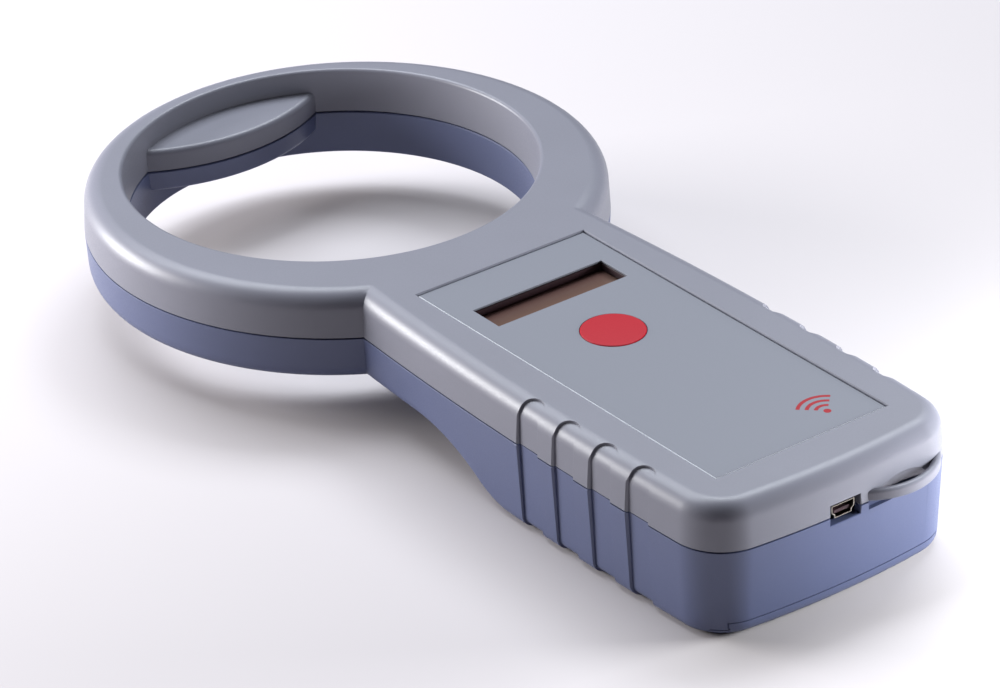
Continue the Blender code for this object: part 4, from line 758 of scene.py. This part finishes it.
signal.data.materials.append(mottled_finish(
    "red_screen_ink", {"IOR": 1.5, "Roughness": 0.5, "Specular IOR Level": 0.2},
    2500.0, 1.0, ("#8a1822", "#961e29")))
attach(signal, "scanner_case")

# ---- Display -----------------------------------------------------------------------------------
# A liquid crystal cell sunk in a dark moulded frame under the window. It is switched off, so the
# glass shows only its brown-grey rear polariser.
low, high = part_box("display_frame")
bezel = shape("display_bezel", block((low[0], low[1] - RING_Y, low[2]), (high[0], high[1] - RING_Y, high[2])),
              ('DIFFERENCE', block((-WINDOW_X, WINDOW_REAR, low[2] - MM),
                                   (WINDOW_X, WINDOW_FRONT, high[2] + MM), 0.15 * MM, high[2])),
              ('DIFFERENCE', block((-23.7 * MM, -110.0 * MM, low[2] - MM),
                                   (23.7 * MM, -95.2 * MM, 36.4 * MM))))
smooth(bezel)
# Black plastic with a warm cast, its moulded face half matte.
frame_black = mottled_finish("black_moulded_frame", {"IOR": 1.5, "Specular IOR Level": 0.4},
                             2200.0, 2.0, ("#35252a", "#403035"), gloss=(0.42, 0.55))
bezel.data.materials.append(frame_black)
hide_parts("display_frame")
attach(bezel, "scanner_case")

glass_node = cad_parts["display_glass"]
cell_glass, tree, shader, place = new_finish(
    "display_cell", {"IOR": 1.52, "Roughness": 0.16, "Specular IOR Level": 0.45})
# Painted shadow: the glass is coloured darker towards the ring, where the window's far wall shades it.
where = add(tree, "ShaderNodeSeparateXYZ", {}, {"Vector": place})
painted_wall_shadow = add(tree, "ShaderNodeMapRange", {"From Min": -0.029, "From Max": -0.0165}, {"Value": where.outputs[1]})
# The first tone is the glass itself; the second is the painted shadow next to the far wall.
tint = add(tree, "ShaderNodeMix", {"data_type": 'RGBA', 6: srgb("#7a6254"), 7: srgb("#573f3c")},
           {0: painted_wall_shadow.outputs[0]})
# The dot matrix's clear electrodes just show, on a pitch of 0.6 mm.
dots = add(tree, "ShaderNodeTexVoronoi",
           {"feature": 'F1', "distance": 'CHEBYCHEV', "Scale": 1650.0, "Randomness": 0.0}, {"Vector": place})
lattice = add(tree, "ShaderNodeMapRange",
              {"From Min": 0.38, "From Max": 0.48, "To Min": 0.0, "To Max": 0.10},
              {"Value": dots.outputs["Distance"]})
shade = add(tree, "ShaderNodeMix", {"data_type": 'RGBA', 7: srgb("#2f2420")},
            {0: lattice.outputs[0], 6: tint.outputs[2]})
tree.links.new(shade.outputs[2], shader.inputs["Base Color"])
glass_node.data.materials.clear()
glass_node.data.materials.append(cell_glass)

# ---- Scan button -------------------------------------------------------------------------------
# A red moulded cap that stands just proud of the plate. Its edge is rounded and its face is very
# slightly domed; a flange under the shell keeps it in.
low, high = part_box("scan_button")
cap_top = high[2]
CAP = 9.05 * MM
CAP_ROUND = 0.35 * MM
DOME = 0.10 * MM
STEM = 2.4 * MM
FLANGE = 10.8 * MM
flange_low, flange_high = 35.2 * MM, 36.4 * MM
profile = [(STEM, low[2]), (STEM, flange_low), (FLANGE, flange_low), (FLANGE, flange_high),
           (CAP, flange_high), (CAP, cap_top - DOME - CAP_ROUND)]
for step in range(1, 9):
    angle = math.pi / 2 * step / 8
    profile.append((CAP - CAP_ROUND * (1 - math.cos(angle)),
                    cap_top - DOME - CAP_ROUND + CAP_ROUND * math.sin(angle)))
for share in (0.85, 0.6, 0.35, 0.12):
    profile.append(((CAP - CAP_ROUND) * share, cap_top - DOME * share ** 2))
cap = as_object("red_cap", turned(profile, BUTTON_SPOT, 96))
smooth(cap)
# Deep red ABS with the cases' grain, and a dull face that hardly mirrors.
cap.data.materials.append(mottled_finish(
    "red_moulded_abs", {"IOR": 1.53, "Specular IOR Level": 0.14}, 2600.0, 2.0, ("#a31b28", "#991825"),
    gloss=(0.42, 0.54), relief=(0.4, 0.010 * MM)))
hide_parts("scan_button")
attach(cap, "scan_button_body")

# ---- USB socket --------------------------------------------------------------------------------
# A folded nickel-plated can with the waisted mini-USB outline, with a black tongue inside that
# carries five gilt contacts.
low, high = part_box("usb_socket")
mid_z = (low[2] + high[2]) / 2
half_x, half_z = (high[0] - low[0]) / 2, (high[2] - low[2]) / 2


def can_outline(inset):
    """The socket's section: full width at the top, stepped in at the bottom."""
    x, z, foot = half_x - inset, half_z - inset, half_x - 0.9 * MM - inset
    right = [(foot, -z), (foot, -0.55 * z), (x, -0.1 * z), (x, z)]
    return [(-px, pz) for px, pz in reversed(right)] + right


def can_form(inset, near, far):
    """The socket's section, set in and drawn from one end to the other."""
    return loft([[(x, y, mid_z + z) for x, z in can_outline(inset)] for y in (near, far)])


can = shape("usb_can", can_form(0.0, low[1], high[1]),
            ('DIFFERENCE', can_form(0.35 * MM, low[1] - MM, high[1] - 0.4 * MM)))
bevel = can.modifiers.new("folded_edge", 'BEVEL')
bevel.width = 0.12 * MM
bevel.segments = 3
bevel.limit_method = 'ANGLE'
bevel.angle_limit = math.radians(35)
settle(can)
smooth(can)
# Bright nickel, a little clouded by handling.
nickel = mottled_finish("nickel_plate", {"Metallic": 1.0}, 900.0, 3.0, ("#b9b4aa", "#a39c90"),
                        gloss=(0.22, 0.38))
can.data.materials.append(nickel)
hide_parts("usb_socket")
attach(can, "scanner_case")

# Geometry Nodes lay the contact strips side by side along the tongue.
low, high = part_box("usb_tongue")
strips = bpy.data.node_groups.new("contact_strips", "GeometryNodeTree")
strips.is_modifier = True
for label, kind in (("Geometry", "NodeSocketGeometry"), ("Count", "NodeSocketInt"),
                    ("Pitch", "NodeSocketFloat"), ("Strip Size", "NodeSocketVector"),
                    ("Start", "NodeSocketVector"), ("Finish", "NodeSocketMaterial")):
    strips.interface.new_socket(label, in_out='INPUT', socket_type=kind)
strips.interface.new_socket("Geometry", in_out='OUTPUT', socket_type="NodeSocketGeometry")
given = add(strips, "NodeGroupInput")
step_vector = add(strips, "ShaderNodeCombineXYZ", {}, {0: given.outputs["Pitch"]})
line = add(strips, "GeometryNodeMeshLine", {},
           {"Count": given.outputs["Count"], "Start Location": given.outputs["Start"],
            "Offset": step_vector.outputs[0]})
strip = add(strips, "GeometryNodeMeshCube", {}, {"Size": given.outputs["Strip Size"]})
laid = add(strips, "GeometryNodeInstanceOnPoints", {},
           {"Points": line.outputs[0], "Instance": strip.outputs[0]})
real = add(strips, "GeometryNodeRealizeInstances", {}, {0: laid.outputs[0]})
coated = add(strips, "GeometryNodeSetMaterial", {},
             {"Geometry": real.outputs[0], "Material": given.outputs["Finish"]})
add(strips, "NodeGroupOutput", {}, {0: coated.outputs[0]})
# Thin gold on the contacts, dulled where plugs have rubbed.
gilt = mottled_finish("gilt_contact", {"Metallic": 1.0}, 1500.0, 2.0, ("#d9a94e", "#b9893a"),
                      gloss=(0.2, 0.36))


def grow_strips(name, values):
    """Run the strip tree on an empty mesh with these inputs, and keep the result as plain mesh."""
    thing = bpy.data.objects.new(name, bpy.data.meshes.new(name))
    bpy.context.scene.collection.objects.link(thing)
    nodes = thing.modifiers.new("strips", 'NODES')
    nodes.node_group = strips
    for item in strips.interface.items_tree:
        if item.in_out == 'INPUT' and item.name in values:
            nodes[item.identifier] = values[item.name]
    settle(thing)
    return thing


CONTACTS = 5
CONTACT_PITCH = 0.8 * MM
gilt_strips = grow_strips("socket_contacts", {
    "Count": CONTACTS, "Pitch": CONTACT_PITCH, "Finish": gilt,
    "Strip Size": (0.34 * MM, high[1] - low[1] - 1.2 * MM, 0.06 * MM),
    "Start": (-CONTACT_PITCH * (CONTACTS - 1) / 2, (low[1] + high[1]) / 2, low[2] - 0.03 * MM)})
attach(gilt_strips, "scanner_case")

# ---- Battery cells -----------------------------------------------------------------------------
# Four alkaline AA cells: a drawn steel can in a printed plastic jacket, with the pip of the
# positive end standing out of an insulating washer, dark on a real cell but drawn here in nickel.
jacket, tree, shader, place = new_finish(
    "printed_jacket", {"IOR": 1.5, "Coat Weight": 0.6, "Coat Roughness": 0.12})
where = add(tree, "ShaderNodeSeparateXYZ", {}, {"Vector": place})
band = add(tree, "ShaderNodeMath", {"operation": 'GREATER_THAN', 1: -0.094}, {0: where.outputs[1]})
scuff = add(tree, "ShaderNodeTexNoise", {"Scale": 600.0, "Detail": 4.0}, {"Vector": place})
tint = add(tree, "ShaderNodeMix", {"data_type": 'RGBA', 6: srgb("#25303a"), 7: srgb("#8f949a")},
           {0: band.outputs[0]})
tree.links.new(tint.outputs[2], shader.inputs["Base Color"])
gloss = add(tree, "ShaderNodeMapRange", {"To Min": 0.28, "To Max": 0.42}, {"Value": scuff.outputs[0]})
tree.links.new(gloss.outputs[0], shader.inputs["Roughness"])
for number in range(1, 5):
    low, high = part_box("battery_cell_%d" % number)
    x, z = (low[0] + high[0]) / 2, (low[2] + high[2]) / 2
    sign = 1.0 if number % 2 else -1.0
    plus = high[1] if sign > 0 else low[1]
    # (radius, distance from the pip) in millimetres: pip, washer, shoulder, can, base.
    stations = [(0.9, 0.0), (2.45, 0.05), (2.75, 0.35), (2.75, 1.0), (5.6, 1.0), (5.9, 1.25), (6.6, 1.25),
                (7.05, 1.35), (7.25, 1.75), (7.25, 49.4), (7.05, 49.9), (6.5, 50.0), (6.1, 50.2), (2.2, 50.2)]
    cell = loft([[(x + radius * MM * math.cos(math.tau * turn / 64), plus - sign * reach * MM,
                   z + radius * MM * math.sin(math.tau * turn / 64)) for turn in range(64)]
                 for radius, reach in stations])
    cell = as_object("alkaline_cell_%d" % number, cell)
    cell.data.materials.append(jacket)
    cell.data.materials.append(nickel)
    for face in cell.data.polygons:
        reach = abs(face.center.y - plus) / MM
        radius = math.hypot(face.center.x - x, face.center.z - z) / MM
        face.material_index = 1 if radius < 6.7 and (reach < 1.3 or reach > 49.6) else 0
    smooth(cell)
    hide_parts("battery_cell_%d" % number)
    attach(cell, "scanner_case")

# ---- Screws ------------------------------------------------------------------------------------
# Plated thread-forming screws with a pan head and a cross recess, driven up into the posts.
HEAD = 2.5 * MM
HEAD_DEPTH = 1.8 * MM
SHANK = 1.45 * MM


def screw_form(spot, seat, tip):
    """A pan-head screw, head down."""
    profile = [(0.5 * HEAD, seat - HEAD_DEPTH)]
    for step in range(1, 6):
        angle = math.pi / 2 * step / 5
        profile.append((HEAD * (0.5 + 0.5 * math.sin(angle)),
                        seat - HEAD_DEPTH * (1 - 0.45 * (1 - math.cos(angle)))))
    profile += [(HEAD, seat), (SHANK, seat), (SHANK, tip - 1.2 * MM), (SHANK * 0.3, tip)]
    return turned(profile, spot, 40)


def recess_arm(spot, bottom, angle):
    """One arm of the cross recess, narrowing as it goes up into the head."""
    way = Vector((math.cos(angle), math.sin(angle)))
    side_way = Vector((-way.y, way.x))
    rows = []
    for z, length, width in ((bottom - MM, 1.7 * MM, 0.36 * MM), (bottom + 0.05 * MM, 1.5 * MM, 0.30 * MM),
                             (bottom + 1.0 * MM, 0.5 * MM, 0.18 * MM)):
        rows.append([(spot[0] + way.x * a * length + side_way.x * b * width,
                      spot[1] + RING_Y + way.y * a * length + side_way.y * b * width, z)
                     for a, b in ((1, 1), (-1, 1), (-1, -1), (1, -1))])
    return loft(rows)


for place_name in ("front_left", "front_right", "rear_left", "rear_right", "pod"):
    name = "case_screw_" + place_name
    seat, tip = (22.0 * MM, 30.0 * MM) if place_name == "pod" else (15.7 * MM, 34.0 * MM)
    low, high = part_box(name)
    spot = ((low[0] + high[0]) / 2, (low[1] + high[1]) / 2 - RING_Y)
    turn_by = random.Random(name).uniform(0.0, math.pi)
    screw = shape("pan_screw_" + place_name, screw_form(spot, seat, tip),
                  ('DIFFERENCE', recess_arm(spot, low[2], turn_by)),
                  ('DIFFERENCE', recess_arm(spot, low[2], turn_by + math.pi / 2)))
    smooth(screw)
    screw.data.materials.append(nickel)
    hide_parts(name)
    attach(screw, "scanner_case")

# ---- Pieces inside -----------------------------------------------------------------------------
# The boards, coil, contacts and components keep their frame shapes, each in the finish of what it
# is made of: solder mask, enamelled copper, tinned spring steel, moulded black and white plastic.
mask_green = mottled_finish("green_solder_mask", {"IOR": 1.55, "Roughness": 0.34},
                            700.0, 2.0, ("#1c5a34", "#247043"))
white_nylon = mottled_finish("white_nylon", {"IOR": 1.53, "Roughness": 0.42},
                             500.0, 2.0, ("#e6e2d8", "#efece4"))
# The coil's turns show as bands one above another.
copper, tree, shader, place = new_finish(
    "enamelled_copper", {"Metallic": 1.0, "Roughness": 0.3, "Coat Weight": 0.5})
turns = add(tree, "ShaderNodeTexWave", {"bands_direction": 'Z', "Scale": 400.0}, {"Vector": place})
tint = add(tree, "ShaderNodeMix", {"data_type": 'RGBA', 6: srgb("#a85a30"), 7: srgb("#c87945")},
           {0: turns.outputs[1]})
tree.links.new(tint.outputs[2], shader.inputs["Base Color"])
FINISHES = {"main_board": mask_green, "display_board": mask_green, "antenna_coil": copper,
            "antenna_lead_left": copper, "antenna_lead_right": copper, "display_backlight": white_nylon,
            "antenna_connector": white_nylon}
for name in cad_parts:
    if name.startswith(("contact_", "battery_spring", "board_screw", "clock_crystal")):
        FINISHES[name] = nickel
    if name.startswith(("processor", "antenna_driver", "tuning", "buzzer", "supply", "switch",
                        "display_header", "usb_tongue")):
        FINISHES[name] = frame_black
for name, finish in FINISHES.items():
    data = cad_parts[name].data
    data.materials.clear()
    data.materials.append(finish)

# ---- Floor and light ---------------------------------------------------------------------------
# A pale paper sweep. Two softboxes hang behind and to the right, a small one stands low on the
# left of the ring, and another low beside the battery end.
floor = as_object("paper_floor", block((-3.0, -3.0, -0.0101), (3.0, 3.0, -0.0001)))
paper = new_finish("white_paper", {"Base Color": (0.53, 0.495, 0.505, 1.0), "Roughness": 0.9,
                                   "Specular IOR Level": 0.1})[0]
floor.data.materials.append(paper)

world = bpy.data.worlds.new("studio_room")
world.use_nodes = True
world.node_tree.nodes["Background"].inputs[0].default_value = (1.0, 0.92, 0.97, 1.0)
world.node_tree.nodes["Background"].inputs[1].default_value = 0.06
bpy.context.scene.world = world


def softbox(name, place, aim_at, size, power, colour, gloss=True):
    """A rectangular light at one point, facing another, both from the ring's centre; gloss lets it mirror."""
    data = bpy.data.lights.new(name, 'AREA')
    data.shape = 'RECTANGLE'
    data.size, data.size_y = size
    data.energy = power
    data.color = colour
    light = bpy.data.objects.new(name, data)
    light.location = Vector(place) + Vector((0.0, RING_Y, 0.0))
    light.rotation_euler = (Vector(place) - Vector(aim_at)).to_track_quat('Z', 'Y').to_euler()
    light.visible_camera = False
    light.visible_glossy = gloss
    bpy.context.scene.collection.objects.link(light)


softbox("back_box", (0.0, 0.80, 1.47), (0.0, -0.11, 0.02), (1.3, 0.9), 29.0, (0.93, 0.99, 1.05))
softbox("right_box", (0.88, 0.36, 1.36), (0.0, -0.11, 0.02), (0.8, 0.6), 17.0, (0.93, 0.99, 1.05))
softbox("ring_box", (-0.42, 0.42, 0.17), (-0.05, -0.03, 0.02), (0.34, 0.26), 7.5, (1.0, 1.0, 1.0))
softbox("end_box", (0.17, -0.315, 0.055), (0.02, -0.225, 0.02), (0.10, 0.07), 1.3, (0.96, 1.0, 1.0),
        gloss=False)
bpy.context.scene.view_settings.view_transform = 'Standard'
